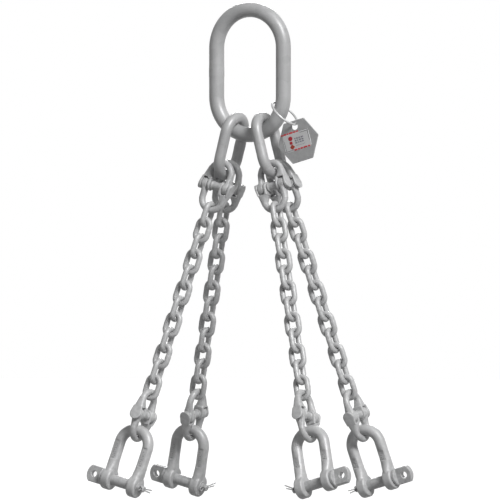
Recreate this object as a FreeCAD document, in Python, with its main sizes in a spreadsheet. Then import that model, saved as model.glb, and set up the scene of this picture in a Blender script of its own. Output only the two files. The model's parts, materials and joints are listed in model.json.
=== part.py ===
import FreeCAD, Part
import math
import os
import Sketcher

# Four leg chain sling, millimetres, +Z up.  The origin is the inside of the
# master link's crown, where the crane hook bears.  +X is to the right, the
# master link lies in the XZ plane, and the legs spread to the four corners.

DIMENSIONS = (
    ("link_gap", 0.3, "play left between two rods that bear on each other"),
    ("master_rod", 22, "master link: bar diameter"),
    ("master_length", 160, "master link: inside length"),
    ("master_width", 90, "master link: inside width"),
    ("middle_rod", 16, "intermediate link: bar diameter"),
    ("middle_length", 70, "intermediate link: inside length"),
    ("middle_width", 34, "intermediate link: inside width"),
    ("middle_seat", 33.5, "place on the master link's lower bend, degrees from its lowest point"),
    ("leg_spread", 15, "slope of the legs to the left and right, degrees"),
    ("leg_lean", 9.66, "slope of the legs to the front and back, degrees"),
    ("crown_offset", 9, "upper coupling: distance of its crown from the intermediate link's middle"),
    ("chain_rod", 8, "chain: rod diameter"),
    ("chain_pitch", 24, "chain: pitch"),
    ("chain_width", 11.2, "chain: inside width of a link"),
    ("coupling_rod", 9.5, "coupling: rod diameter of the bows"),
    ("coupling_length", 62, "coupling: inside length, bow to bow"),
    ("coupling_arms", 35, "coupling: distance between the arms' centres"),
    ("shoulder_angle", 28, "coupling: place on the bend where the fork's flare starts, degrees"),
    ("lug_diameter", 18, "coupling: diameter of the lugs"),
    ("tongue_width", 8.2, "coupling: width of the single lug"),
    ("outer_lug", 6, "coupling: width of the fork's outer lug"),
    ("inner_lug", 5, "coupling: width of the fork's inner lug"),
    ("slot_play", 0.3, "coupling: side play of the tongue in the fork"),
    ("root_play", 0.6, "coupling: play between the tongue and the fork's root"),
    ("lug_round", 1.2, "coupling: rounding of the lugs' rims"),
    ("load_pin", 10, "coupling: load pin diameter"),
    ("load_pin_play", 0.08, "coupling: radial play of the load pin in the lugs"),
    ("bush_diameter", 14, "coupling: outside diameter of the retaining bush"),
    ("bow_rod", 16, "shackle: bow diameter"),
    ("shackle_length", 64, "shackle: inside length, pin to crown"),
    ("shackle_jaw", 31, "shackle: width between the eyes"),
    ("eye_diameter", 32.5, "shackle: diameter of the eyes"),
    ("eye_width", 14, "shackle: width of an eye"),
    ("eye_round", 2.5, "shackle: rounding of the eyes' rims"),
    ("flare_height", 27, "shackle: height above the pin where the eyes run out into the rod"),
    ("panel_width", 9, "shackle: width of the sunk marking panels"),
    ("panel_depth", 0.9, "shackle: depth of the marking panels"),
    ("panel_foot", 27.5, "shackle: height of the panels' lower ends above the pin"),
    ("panel_long", 30, "shackle: length of the two long panels"),
    ("panel_short", 16.5, "shackle: length of the two short panels"),
    ("bolt_diameter", 16, "shackle pin: shank diameter"),
    ("bolt_play", 0.1, "shackle pin: radial play in the eyes"),
    ("collar_diameter", 25, "shackle pin: collar diameter"),
    ("collar_width", 4.5, "shackle pin: collar width"),
    ("grip_length", 24, "shackle pin: length of the flat head past the collar"),
    ("grip_height", 24.5, "shackle pin: height of the flat head"),
    ("grip_thickness", 9, "shackle pin: thickness of the flat head"),
    ("grip_end_radius", 17, "shackle pin: radius of the flat head's end"),
    ("grip_hole", 10, "shackle pin: hole in the flat head"),
    ("grip_hole_inset", 11.5, "shackle pin: distance of that hole from the head's end"),
    ("shank_end", 0.8, "shackle pin: length of the full shank past the far eye"),
    ("shank_bevel", 0.6, "shackle pin: bevel at that end"),
    ("tail_diameter", 9.4, "shackle pin: diameter of the slim tail"),
    ("tail_length", 9.6, "shackle pin: length past the far eye"),
    ("tail_bevel", 0.8, "shackle pin: bevel of the tail"),
    ("cotter_inset", 4.2, "cotter: distance from the pin's tail end"),
    ("cotter_rod", 1.9, "cotter: rod diameter"),
    ("cotter_hole", 4.5, "cotter: hole through the pin"),
    ("cotter_eye", 7.2, "cotter: diameter of its eye, at the rod's centre"),
    ("cotter_neck", 1.4, "cotter: radius between its eye and its legs, at the rod's centre"),
    ("cotter_bend", 7, "cotter: distance from the pin's axis to the bends of the legs"),
    ("cotter_knee", 12, "cotter: radius of those bends, at the rod's centre"),
    ("cotter_long", 22, "cotter: length of the long leg past its bend"),
    ("cotter_short", 19, "cotter: length of the short leg past its bend"),
    ("cotter_splay", 3, "cotter: splay of each leg, degrees"),
    ("ring_rod", 3.4, "tag ring: wire diameter"),
    ("ring_diameter", 45.6, "tag ring: diameter at the wire's centre"),
    ("ring_seat", 77.5, "tag ring: place on the master link's lower bend, degrees"),
    ("ring_hang", 45.6, "tag ring: slope of its plane from straight down, degrees"),
    ("tag_flats", 60.4, "tag: width across the flats"),
    ("tag_thickness", 2, "tag: plate thickness"),
    ("tag_corner", 2.5, "tag: corner radius"),
    ("tag_hole", 10, "tag: hole diameter"),
    ("tag_hole_inset", 8.5, "tag: distance of the hole's centre from the edge"),
    ("tag_turn", 15.3, "tag: turn in its own plane, degrees"),
)

LINKS_PER_SEGMENT = 3
SEGMENTS = 4
Vector = FreeCAD.Vector
X_AXIS, Y_AXIS, Z_AXIS = Vector(1, 0, 0), Vector(0, 1, 0), Vector(0, 0, 1)
SIDES = (("left", -1), ("right", 1))
DEPTHS = (("front", -1), ("back", 1))

# Derived sizes, each written once as a formula over the sheet.
MASTER_BEND = "(dims.master_width / 2)"
MIDDLE_REACH = "((dims.middle_length + dims.middle_rod) / 2)"
CHAIN_LENGTH = "(dims.chain_pitch + dims.link_gap)"
CHAIN_REACH = "((dims.chain_pitch + dims.link_gap + dims.chain_rod) / 2)"
COUPLING_REACH = "((dims.coupling_length + dims.coupling_rod) / 2)"
ARM = "(dims.coupling_arms / 2)"
SLOT = "(dims.tongue_width + 2 * dims.slot_play)"
FORK_WIDTH = "(dims.tongue_width + 2 * dims.slot_play + dims.outer_lug + dims.inner_lug)"
FORK_INNER = "(dims.coupling_arms / 2 - dims.tongue_width / 2 - dims.slot_play - dims.inner_lug)"
FORK_MIDDLE = "(dims.coupling_arms / 2 + (dims.outer_lug - dims.inner_lug) / 2)"
FORK_ROOT = "(dims.lug_diameter / 2 + dims.root_play)"
FORK_OUTER = "(dims.coupling_arms / 2 + dims.tongue_width / 2 + dims.slot_play + dims.outer_lug)"
BOW_ARM = "((dims.shackle_jaw + dims.bow_rod) / 2)"
BOW_REACH = "((dims.bow_rod + dims.bolt_diameter) / 2 + dims.shackle_length)"
EYE_INNER = "(dims.shackle_jaw / 2)"
EYE_OUTER = "(dims.shackle_jaw / 2 + dims.eye_width)"
COLLAR_FACE = "(dims.shackle_jaw / 2 + dims.eye_width + dims.link_gap)"
GRIP_FOOT = "(dims.shackle_jaw / 2 + dims.eye_width + dims.link_gap + dims.collar_width)"
SHANK_END = "(dims.shackle_jaw / 2 + dims.eye_width + dims.shank_end)"
TAIL_END = "(dims.shackle_jaw / 2 + dims.eye_width + dims.tail_length)"
# Half axes of the ovals that the forged necks are drawn through, and the ovals' heights.
TONGUE_FOOT = ("dims.lug_diameter * 0.44", "dims.tongue_width * 0.48")
TONGUE_WAIST = ("dims.lug_diameter * 0.37", "dims.tongue_width * 0.49")
FORK_FOOT = ("%s / 2 - dims.lug_round" % FORK_WIDTH, "dims.lug_diameter * 0.45")
FORK_WAIST = ("%s * 0.42" % FORK_WIDTH, "dims.lug_diameter * 0.4")
FORK_WAIST_HEIGHT = "%s + dims.coupling_rod * 0.2" % FORK_ROOT
FLARE_FOOT = ("dims.eye_diameter * 0.46", "dims.eye_width / 2 - dims.eye_round / 3")
FLARE_WAIST = ("dims.bow_rod * 0.66", "dims.bow_rod * 0.49")
LUG_FOOT_HEIGHT = "dims.lug_diameter / 6"
EYE_FOOT_HEIGHT = "dims.eye_diameter / 6"
FLARE_WAIST_HEIGHT = "(dims.eye_diameter / 6 + dims.flare_height) / 2 + 1"
TAG_HOLE_RADIUS = "(dims.tag_flats / 2 - dims.tag_hole_inset)"
TAG_SLACK = "((dims.tag_hole - dims.ring_rod) / 2 - dims.link_gap)"

doc = FreeCAD.newDocument("four_leg_chain_sling")
sheet = doc.addObject("Spreadsheet::Sheet", "dims")
for row, (alias, value, meaning) in enumerate(DIMENSIONS, start=1):
    sheet.set("A%d" % row, str(value))
    sheet.setAlias("A%d" % row, alias)
    sheet.set("B%d" % row, meaning)
doc.recompute()


def size(formula):
    """The present value of a formula over the sheet."""
    return float(sheet.evalExpression(formula))


def shape_of(kind, name, **formulas):
    """Add a Part object and bind its properties to formulas over the sheet."""
    item = doc.addObject("Part::" + kind, name)
    for prop, formula in formulas.items():
        item.setExpression(prop, formula)
    return item


def put(item, turn=None, **formulas):
    """Turn an object about its own origin and bind its place (x, y, z)."""
    if turn is not None:
        axis, angle = turn
        item.Placement = FreeCAD.Placement(Vector(), FreeCAD.Rotation(axis, angle))
    for letter, formula in formulas.items():
        item.setExpression("Placement.Base." + letter, formula)
    return item


def crossbar(name, diameter, start, length):
    """A round bar along +X, centred on the X axis, from start."""
    bar = shape_of("Cylinder", name, Radius="%s / 2" % diameter, Height=length)
    return put(bar, (Y_AXIS, 90), x=start)


def dressed(kind, name, base, amount, chosen):
    """Round (Fillet) or bevel (Chamfer) those edges of a solid that the test chooses."""
    doc.recompute()
    dress = doc.addObject("Part::" + kind, name)
    dress.Base = base
    dress.Edges = [(number, size(amount), size(amount))
                   for number, edge in enumerate(base.Shape.Edges, start=1) if chosen(edge)]
    return dress


def rounded_rims(name, bar, radius):
    """Round both rims of a round bar."""
    return dressed("Fillet", name, bar, radius, lambda edge: isinstance(edge.Curve, Part.Circle))


def oval(name, longer, shorter, along, **place):
    """A flat oval outline whose longer half, and its seam, lie along the X or the Y axis."""
    outline = shape_of("Ellipse", name, MajorRadius=longer, MinorRadius=shorter)
    return put(outline, (Z_AXIS, 90 if along == Y_AXIS else 0), **place)


def loft(name, *outlines):
    """A solid drawn smoothly through flat outlines."""
    body = doc.addObject("Part::Loft", name)
    body.Sections = list(outlines)
    body.Solid = True
    return body


def joined(name, *pieces):
    """Several solids made one."""
    whole = doc.addObject("Part::MultiFuse", name)
    whole.Shapes = list(pieces)
    whole.Refine = True
    return whole


def cut(name, base, *tools):
    """Take the tools' solids away from the base."""
    tool = tools[0] if len(tools) == 1 else joined(name + "_tools", *tools)
    rest = doc.addObject("Part::Cut", name)
    rest.Base = base
    rest.Tool = tool
    return rest


def gathered(name, *pieces):
    """Separate solids kept together as one group."""
    group = doc.addObject("Part::Compound", name)
    group.Links = list(pieces)
    return group


def copy_of(name, original, placement):
    """A linked copy of an object at a place of its own."""
    linked = doc.addObject("App::Link", name)
    linked.Label = name
    linked.LinkedObject = original
    linked.Placement = placement
    return linked


def frame(x=0.0, y=0.0, z=0.0, *turns):
    """A place: a point and the turns (axis, degrees) made there, outermost first."""
    rotation = FreeCAD.Rotation()
    for axis, angle in turns:
        rotation = rotation * FreeCAD.Rotation(axis, angle)
    return FreeCAD.Placement(Vector(x, y, z), rotation)


def plane_of(body, role):
    """A body's own origin plane."""
    return next(feature for feature in body.Origin.OriginFeatures if feature.Role == role)


def sketch_on(body, name, role):
    """A new sketch lying on one of the body's origin planes."""
    sketch = body.newObject("Sketcher::SketchObject", name)
    sketch.AttachmentSupport = [(plane_of(body, role), "")]
    sketch.MapMode = "FlatFace"
    return sketch


def dimension(sketch, label, formula, *constraint):
    """Add a sketch constraint, name it and bind it to a formula."""
    index = sketch.addConstraint(Sketcher.Constraint(*constraint))
    sketch.renameConstraint(index, label)
    sketch.setExpression("Constraints." + label, formula)


def round_link(name, rod, length, width):
    """A link of round bar in the XZ plane, centred on the origin, swept along its centre line."""
    bend = (size(width) + size(rod)) / 2
    straight = (size(length) - size(width)) / 2
    body = doc.addObject("PartDesign::Body", name)

    route = sketch_on(body, name + "_centre_line", "XZ_Plane")
    upper = Part.ArcOfCircle(Part.Circle(Vector(0, straight, 0), Z_AXIS, bend), 0, math.pi)
    lower = Part.ArcOfCircle(Part.Circle(Vector(0, -straight, 0), Z_AXIS, bend), math.pi, 2 * math.pi)
    right_top = Part.LineSegment(Vector(bend, 0, 0), Vector(bend, straight, 0))
    left_side = Part.LineSegment(Vector(-bend, straight, 0), Vector(-bend, -straight, 0))
    right_foot = Part.LineSegment(Vector(bend, -straight, 0), Vector(bend, 0, 0))
    route.addGeometry([upper, lower, right_top, left_side, right_foot], False)
    route.addConstraint([
        Sketcher.Constraint("Tangent", 2, 2, 0, 1),
        Sketcher.Constraint("Tangent", 0, 2, 3, 1),
        Sketcher.Constraint("Tangent", 3, 2, 1, 1),
        Sketcher.Constraint("Tangent", 1, 2, 4, 1),
        Sketcher.Constraint("Coincident", 4, 2, 2, 1),
        Sketcher.Constraint("PointOnObject", 2, 1, -1),
        Sketcher.Constraint("PointOnObject", 0, 3, -2),
        Sketcher.Constraint("Symmetric", 0, 3, 1, 3, -1, 1),
        Sketcher.Constraint("Vertical", 3),
    ])
    dimension(route, "bend", "(%s + %s) / 2" % (width, rod), "Radius", 0, bend)
    dimension(route, "straight", "(%s - %s) / 2" % (length, width),
              "DistanceY", -1, 1, 0, 3, straight)

    section = sketch_on(body, name + "_section", "XY_Plane")
    section.addGeometry(Part.Circle(Vector(bend, 0, 0), Z_AXIS, size(rod) / 2), False)
    section.addConstraint(Sketcher.Constraint("PointOnObject", 0, 3, -1))
    dimension(section, "radius", "%s / 2" % rod, "Radius", 0, size(rod) / 2)
    dimension(section, "bend", "(%s + %s) / 2" % (width, rod), "DistanceX", -1, 1, 0, 3, bend)

    bar = body.newObject("PartDesign::AdditivePipe", name + "_bar")
    bar.Profile = section
    bar.Spine = route
    return body


def round_bend(name, arm, reach, rod, sweep):
    """A bend of round bar in the XZ plane, from +X over the top through sweep degrees."""
    bend = shape_of("Torus", name, Radius1=arm, Radius2="%s / 2" % rod, Angle3=sweep)
    return put(bend, (X_AXIS, 90), z="%s - %s" % (reach, arm))


def coupling_half():
    """A forged half, crown up: a fork on -X, a single tongue on +X, the pin's axis on X."""
    rod = "dims.coupling_rod / 2"
    bend_height = "(%s - %s)" % (COUPLING_REACH, ARM)
    bend = round_bend("half_bend", ARM, COUPLING_REACH, "dims.coupling_rod",
                      "180 - dims.shoulder_angle")

    tongue_lug = crossbar("tongue_lug", "dims.lug_diameter",
                          "%s - dims.tongue_width / 2" % ARM, "dims.tongue_width")
    tongue = rounded_rims("tongue", tongue_lug, "dims.lug_round")
    tongue_neck = loft(
        "tongue_neck",
        oval("tongue_foot", *TONGUE_FOOT, Y_AXIS, x=ARM, z=LUG_FOOT_HEIGHT),
        oval("tongue_waist", *TONGUE_WAIST, Y_AXIS, x=ARM, z=FORK_ROOT),
        oval("tongue_top", rod, rod, Y_AXIS, x=ARM, z=bend_height))

    fork_bar = crossbar("fork_bar", "dims.lug_diameter",
                        "-%s - %s / 2" % (FORK_MIDDLE, FORK_WIDTH), FORK_WIDTH)
    fork = rounded_rims("fork", fork_bar, "dims.lug_round")
    fork_top = oval("fork_top", rod, rod, X_AXIS, x="-%s * cos(dims.shoulder_angle)" % ARM,
                    z="%s + %s * sin(dims.shoulder_angle)" % (bend_height, ARM))
    fork_top.Placement.Rotation = FreeCAD.Rotation(Y_AXIS, size("dims.shoulder_angle"))
    fork_neck = loft(
        "fork_neck",
        oval("fork_foot", *FORK_FOOT, X_AXIS, x="-" + FORK_MIDDLE, z=LUG_FOOT_HEIGHT),
        oval("fork_waist", *FORK_WAIST, X_AXIS, x="-" + FORK_MIDDLE, z=FORK_WAIST_HEIGHT),
        fork_top)

    slot = shape_of("Box", "slot", Length=SLOT, Width="2 * dims.lug_diameter",
                    Height="dims.lug_diameter + " + FORK_ROOT)
    put(slot, x="-%s - %s / 2" % (ARM, SLOT), y="-dims.lug_diameter", z="-dims.lug_diameter")
    bore = crossbar("pin_bore", "(dims.load_pin + 2 * dims.load_pin_play)",
                    "-dims.coupling_arms", "2 * dims.coupling_arms")
    solid = joined("half_blank", bend, tongue, tongue_neck, fork, fork_neck)
    return cut("coupling_half", solid, slot, bore)


def coupling_pin():
    """The load pin through all the lugs, with the bush that holds it between the inner lugs."""
    pin = crossbar("load_pin", "dims.load_pin", "-" + FORK_OUTER, "2 * " + FORK_OUTER)
    half = "(%s - dims.slot_play)" % FORK_INNER
    sleeve = crossbar("bush_blank", "dims.bush_diameter", "-" + half, "2 * " + half)
    bore = crossbar("bush_bore", "dims.load_pin", "-dims.coupling_arms", "2 * dims.coupling_arms")
    return gathered("coupling_pin", rounded_rims("load_pin_shank", pin, "dims.slot_play"),
                    cut("bush", sleeve, bore))


def shackle_bow():
    """A dee bow: pin axis on X through the origin, crown up, an eye at each end."""
    bend = round_bend("dee_bend", BOW_ARM, BOW_REACH, "dims.bow_rod", "180")
    eyes = []
    for side, sign in SIDES:
        start = EYE_INNER if sign > 0 else "-" + EYE_OUTER
        middle = "%d * (dims.shackle_jaw + dims.eye_width) / 2" % sign
        blank = crossbar(side + "_eye_blank", "dims.eye_diameter", start, "dims.eye_width")
        eyes.append(rounded_rims(side + "_eye", blank, "dims.eye_round"))
        arm = shape_of("Cylinder", side + "_arm", Radius="dims.bow_rod / 2",
                       Height="%s - %s - dims.flare_height" % (BOW_REACH, BOW_ARM))
        eyes.append(put(arm, x="%d * %s" % (sign, BOW_ARM), z="dims.flare_height"))
        eyes.append(loft(
            side + "_flare",
            oval(side + "_flare_foot", *FLARE_FOOT, Y_AXIS, x=middle, z=EYE_FOOT_HEIGHT),
            oval(side + "_flare_waist", *FLARE_WAIST, Y_AXIS, x=middle, z=FLARE_WAIST_HEIGHT),
            oval(side + "_flare_top", "dims.bow_rod / 2", "dims.bow_rod / 2", Y_AXIS,
                 x="%d * %s" % (sign, BOW_ARM), z="dims.flare_height")))
    panels = []
    for face, way, length in (("front", -1, "dims.panel_long"), ("back", 1, "dims.panel_short")):
        for side, sign in SIDES:
            panel = shape_of("Box", "%s_%s_panel" % (face, side), Length="dims.panel_width",
                             Width="dims.bow_rod", Height=length)
            floor = "%d * (dims.bow_rod / 2 - dims.panel_depth)" % way
            put(panel, x="%d * %s - dims.panel_width / 2" % (sign, BOW_ARM), z="dims.panel_foot",
                y=floor if way > 0 else floor + " - dims.bow_rod")
            panels.append(panel)
    bore = crossbar("eye_bore", "(dims.bolt_diameter + 2 * dims.bolt_play)",
                    "-2 * " + EYE_OUTER, "4 * " + EYE_OUTER)
    return cut("shackle_bow", joined("bow_blank", bend, *eyes), bore, *panels)


def far_rim(edge):
    """Whether an edge of a round bar along X is its rim on +X."""
    return isinstance(edge.Curve, Part.Circle) and edge.BoundBox.XMin > 0


def shackle_pin():
    """The shackle's pin on X: flat head with a hole on -X, collar, shank, cross-drilled tail."""
    shank = dressed("Chamfer", "shank", crossbar(
        "shank_bar", "dims.bolt_diameter", "-" + COLLAR_FACE,
        "%s + %s" % (COLLAR_FACE, SHANK_END)), "dims.shank_bevel", far_rim)
    tail = dressed("Chamfer", "tail", crossbar(
        "tail_bar", "dims.tail_diameter", "0 mm", TAIL_END), "dims.tail_bevel", far_rim)
    collar = crossbar("collar_blank", "dims.collar_diameter", "-" + GRIP_FOOT, "dims.collar_width")
    reach = "(%s + dims.grip_length)" % GRIP_FOOT
    plate = put(shape_of("Box", "grip_plate", Length="dims.grip_length + dims.collar_width / 2",
                         Width="dims.grip_thickness", Height="dims.grip_height"),
                x="-" + reach, y="-dims.grip_thickness / 2", z="-dims.grip_height / 2")
    outline = put(shape_of("Cylinder", "grip_end", Radius="dims.grip_end_radius",
                           Height="2 * dims.grip_thickness"),
                  (X_AXIS, 90), x="dims.grip_end_radius - " + reach, y="dims.grip_thickness")
    grip = doc.addObject("Part::MultiCommon", "grip")
    grip.Shapes = [plate, outline]
    hole = put(shape_of("Cylinder", "grip_hole", Radius="dims.grip_hole / 2",
                        Height="2 * dims.grip_thickness"),
               (X_AXIS, 90), x="dims.grip_hole_inset - " + reach, y="dims.grip_thickness")
    cross = put(shape_of("Cylinder", "cotter_hole", Radius="dims.cotter_hole / 2",
                         Height="2 * dims.tail_diameter"),
                (X_AXIS, 90), x="%s - dims.cotter_inset" % TAIL_END, y="dims.tail_diameter")
    collar = rounded_rims("collar", collar, "dims.lug_round / 2")
    return cut("shackle_pin", joined("pin_blank", shank, tail, collar, grip), hole, cross)


def cotter_half(centre, height, knee, foot_length, splay):
    """One leg of the cotter's centre line in its (y, z) plane, from the foot's tip to the eye."""
    neck, bend = size("dims.cotter_neck"), size("dims.cotter_knee")
    turn = math.radians(splay)
    side = math.copysign(1, height)
    start = knee - bend * math.tan(turn / 2)
    foot = Vector(start + bend * math.sin(turn), height + side * bend * (1 - math.cos(turn)), 0)
    tip = foot + Vector(math.cos(turn), side * math.sin(turn), 0) * foot_length
    middle = Vector(start + bend * math.sin(turn / 2),
                    height + side * bend * (1 - math.cos(turn / 2)), 0)
    radius = size("dims.cotter_eye") / 2
    lift = abs(height) + neck
    hub = Vector(centre + math.sqrt((radius + neck) ** 2 - lift ** 2), side * lift, 0)
    eye_centre = Vector(centre, 0, 0)
    on_eye = eye_centre + (hub - eye_centre) * (radius / (radius + neck))
    root = Vector(hub.x, height, 0)
    way = (root - hub).normalize() + (on_eye - hub).normalize()
    return [Part.LineSegment(tip, foot), Part.Arc(foot, middle, Vector(start, height, 0)),
            Part.LineSegment(Vector(start, height, 0), root),
            Part.Arc(root, hub + way.normalize() * neck, on_eye)], on_eye


def cotter():
    """A split cotter in the YZ plane: its eye on -Y, its two legs through the pin and splayed."""
    centre = -size("(dims.tail_diameter + dims.cotter_eye + dims.cotter_rod) / 2")
    height = size("dims.cotter_rod / 2 + dims.link_gap / 4")
    knee, splay = size("dims.cotter_bend"), size("dims.cotter_splay")
    upper, top = cotter_half(centre, height, knee, size("dims.cotter_long"), splay)
    lower, foot = cotter_half(centre, -height, knee, size("dims.cotter_short"), splay)
    eye = Part.Arc(top, Vector(centre - size("dims.cotter_eye") / 2, 0, 0), foot)
    route = doc.addObject("Sketcher::SketchObject", "cotter_centre_line")
    route.Placement = frame(0, 0, 0, (Z_AXIS, 90), (X_AXIS, 90))
    for piece in upper + [eye] + lower[::-1]:
        route.addGeometry(piece, False)
    section = doc.addObject("Part::Circle", "cotter_section")
    section.setExpression("Radius", "dims.cotter_rod / 2")
    tip = upper[0].StartPoint
    section.Placement = frame(0, tip.x, tip.y, (X_AXIS, 90 + splay))
    wire = doc.addObject("Part::Sweep", "cotter")
    wire.Sections = [section]
    wire.Spine = (route, ["Edge%d" % (number + 1) for number in range(route.GeometryCount)])
    wire.Solid = True
    return wire


def hexagon_plate():
    """A flat six-sided plate centred on the origin, with a hole near its edge on +Y."""
    outline = shape_of("RegularPolygon", "tag_outline", Circumradius="dims.tag_flats / sqrt(3)")
    outline.Polygon = 6
    slab = shape_of("Extrusion", "tag_slab", LengthFwd="dims.tag_thickness")
    slab.Base = outline
    slab.Dir = Z_AXIS
    slab.Solid = True
    rounded = dressed("Fillet", "tag_rounded", slab, "dims.tag_corner",
                      lambda edge: edge.BoundBox.ZLength > edge.BoundBox.DiagonalLength / 2)
    hole = put(shape_of("Cylinder", "hexagon_hole", Radius="dims.tag_hole / 2",
                        Height="4 * dims.tag_thickness"),
               y=TAG_HOLE_RADIUS, z="-dims.tag_thickness")
    return cut("hexagon_plate", rounded, hole)


# The four legs: places of their crowns, and distances down a leg from there.

def on_master_bend(angle, radius):
    """A point of the master link's lower bend, angle degrees from its lowest point."""
    centre = -size("dims.master_length") + size(MASTER_BEND)
    turn = math.radians(angle)
    return radius * math.sin(turn), centre - radius * math.cos(turn)


def middle_crown():
    """Centre of the right intermediate link's rod where it hangs in the master link."""
    radius = size(MASTER_BEND) - size("dims.middle_rod") / 2 - size("dims.link_gap")
    return on_master_bend(size("dims.middle_seat"), radius)


def left_leg_place(depth):
    """Frame of a left leg: origin at its coupling's crown, Z up the leg, X across the sling."""
    spread, lean = size("dims.leg_spread"), size("dims.leg_lean")
    x, z = middle_crown()
    offset = size("dims.crown_offset")
    bearing = size("dims.middle_width") / 2 - size("dims.coupling_rod") / 2 - size("dims.link_gap")
    bend_centre = 2 * size(MIDDLE_REACH) - (size("dims.middle_width") + size("dims.middle_rod")) / 2
    down = bend_centre + math.sqrt(bearing ** 2 - offset ** 2)
    slope = math.radians(spread)
    return frame(-x - down * math.sin(slope), depth * offset, z - down * math.cos(slope),
                 (Y_AXIS, spread), (X_AXIS, depth * lean))


def leg_place(side, depth):
    """Frame of a leg; a right leg is the opposite left leg turned half round."""
    if side < 0:
        return left_leg_place(depth)
    return frame(0, 0, 0, (Z_AXIS, 180)) * left_leg_place(-depth)


def stations():
    """Distances down a leg from the upper coupling's crown to each joint and piece."""
    gap, chain, rod = size("dims.link_gap"), size("dims.chain_rod"), size("dims.coupling_rod")
    reach, link = size(COUPLING_REACH), size(CHAIN_REACH)
    place = {"upper_pin": reach, "upper_end": 2 * reach}
    first = place["upper_end"] - (rod + chain) / 2 - gap + link
    pitch = 2 * link - chain - gap
    place["links"] = [first + number * pitch for number in range(LINKS_PER_SEGMENT * SEGMENTS)]
    place["lower_crown"] = place["links"][-1] + link - (chain + rod) / 2 - gap
    place["lower_pin"] = place["lower_crown"] + reach
    place["lower_end"] = place["lower_crown"] + 2 * reach
    place["bow_crown"] = place["lower_end"] - (rod + size("dims.bow_rod")) / 2 - gap
    place["bolt"] = place["bow_crown"] + size(BOW_REACH)
    return place


def add_head(nodes):
    """Master link, the two intermediate links, and the tag on its ring."""
    master = round_link("master", "dims.master_rod", "dims.master_length", "dims.master_width")
    nodes["master_link"] = frame(0, 0, -size("dims.master_length") / 2), master
    middle = round_link("middle", "dims.middle_rod", "dims.middle_length", "dims.middle_width")
    x, z = middle_crown()
    reach = size(MIDDLE_REACH)
    for side, sign in SIDES:
        slope = math.radians(size("dims.leg_spread"))
        nodes["intermediate_link_" + side] = frame(
            sign * (x + reach * math.sin(slope)), 0, z - reach * math.cos(slope),
            (Y_AXIS, -sign * size("dims.leg_spread")), (Z_AXIS, 90)), middle
    ring = shape_of("Torus", "ring", Radius1="dims.ring_diameter / 2", Radius2="dims.ring_rod / 2")
    inner = size(MASTER_BEND) - size("dims.ring_rod") / 2 - size("dims.link_gap")
    x, z = on_master_bend(size("dims.ring_seat"), inner)
    slope, across = math.radians(size("dims.ring_hang")), size("dims.ring_diameter")
    nodes["tag_ring"] = frame(
        x + across / 2 * math.sin(slope), 0, z - across / 2 * math.cos(slope),
        (Y_AXIS, 90 - size("dims.ring_hang"))), ring
    x, z = x + across * math.sin(slope), z - across * math.cos(slope)
    turn = math.radians(size("dims.tag_turn"))
    drop = size("%s + %s" % (TAG_HOLE_RADIUS, TAG_SLACK))
    nodes["tag_plate"] = frame(
        x + drop * math.sin(turn), size("dims.tag_thickness") / 2, z - drop * math.cos(turn),
        (Y_AXIS, -size("dims.tag_turn")), (X_AXIS, 90)), hexagon_plate()


def add_legs(nodes):
    """The four legs: upper coupling, chain, lower coupling and shackle on each."""
    half, pin, bow, bolt, split = (coupling_half(), coupling_pin(), shackle_bow(),
                                   shackle_pin(), cotter())
    link = round_link("chain_link", "dims.chain_rod", CHAIN_LENGTH, "dims.chain_width")
    place = stations()
    pitch = place["links"][1] - place["links"][0]
    segment = gathered("chain_segment", *[
        copy_of("segment_link_%d" % (number + 1), link,
                frame(0, 0, -number * pitch, (Z_AXIS, 90 * (number % 2))))
        for number in range(LINKS_PER_SEGMENT)])
    upside_down = (Y_AXIS, 180)
    for side, side_sign in SIDES:
        for depth, depth_sign in DEPTHS:
            leg = leg_place(side_sign, depth_sign)
            name = "%s_%s_" % (depth, side)
            outward = 0 if side_sign < 0 else 180
            pieces = [
                ("upper_coupling_top", half, "upper_pin", [(Z_AXIS, 0)]),
                ("upper_coupling_bottom", half, "upper_pin", [upside_down]),
                ("upper_coupling_pin", pin, "upper_pin", [(Z_AXIS, 0)]),
                ("lower_coupling_top", half, "lower_pin",
                 [(Z_AXIS, -90 * depth_sign + outward)]),
                ("lower_coupling_bottom", half, "lower_pin",
                 [(Z_AXIS, -90 * depth_sign + outward), upside_down]),
                ("lower_coupling_pin", pin, "lower_pin", [(Z_AXIS, 90)]),
                ("shackle_bow", bow, "bolt", [(Z_AXIS, 0)]),
                ("shackle_pin", bolt, "bolt", [(Z_AXIS, 0)]),
            ]
            for label, original, station, turns in pieces:
                nodes[name + label] = leg * frame(0, 0, -place[station], *turns), original
            across = size("%s - dims.cotter_inset" % TAIL_END)
            nodes[name + "shackle_cotter"] = leg * frame(across, 0, -place["bolt"]), split
            for number in range(SEGMENTS):
                start = place["links"][number * LINKS_PER_SEGMENT]
                turn = 90 * ((number + 1) % 2)
                nodes["%schain_%d" % (name, number + 1)] = (
                    leg * frame(0, 0, -start, (Z_AXIS, turn)), segment)


def build():
    """Make every node as a linked copy of its piece, and check the whole document."""
    planned = {}
    add_head(planned)
    add_legs(planned)
    nodes = [copy_of(name, piece, place) for name, (place, piece) in planned.items()]
    doc.recompute()
    for item in doc.Objects:
        if "Invalid" in item.State or "Error" in item.State:
            raise RuntimeError("%s did not build: %s" % (item.Name, item.State))
    for node in nodes:
        shape = Part.getShape(node)
        if shape.isNull() or not shape.isValid():
            raise RuntimeError(node.Label + " has no valid shape")
    return nodes


os.makedirs("parts", exist_ok=True)
for node in build():
    Part.getShape(node).exportStep("parts/%s.step" % node.Label)
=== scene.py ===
"""Looks of a four leg chain sling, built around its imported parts.

Each sub-assembly is a class that holds its sizes in millimetres, models its pieces as
meshes and dresses them in galvanised finishes.  The frame gives every place: a leg's own
axes come from its hinges, the head's from the frame's origin at the master link's crown.
"""
from __future__ import annotations

import json
import logging
import math
from dataclasses import dataclass, field
from enum import Enum
from typing import Callable, Iterable, Sequence

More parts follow.
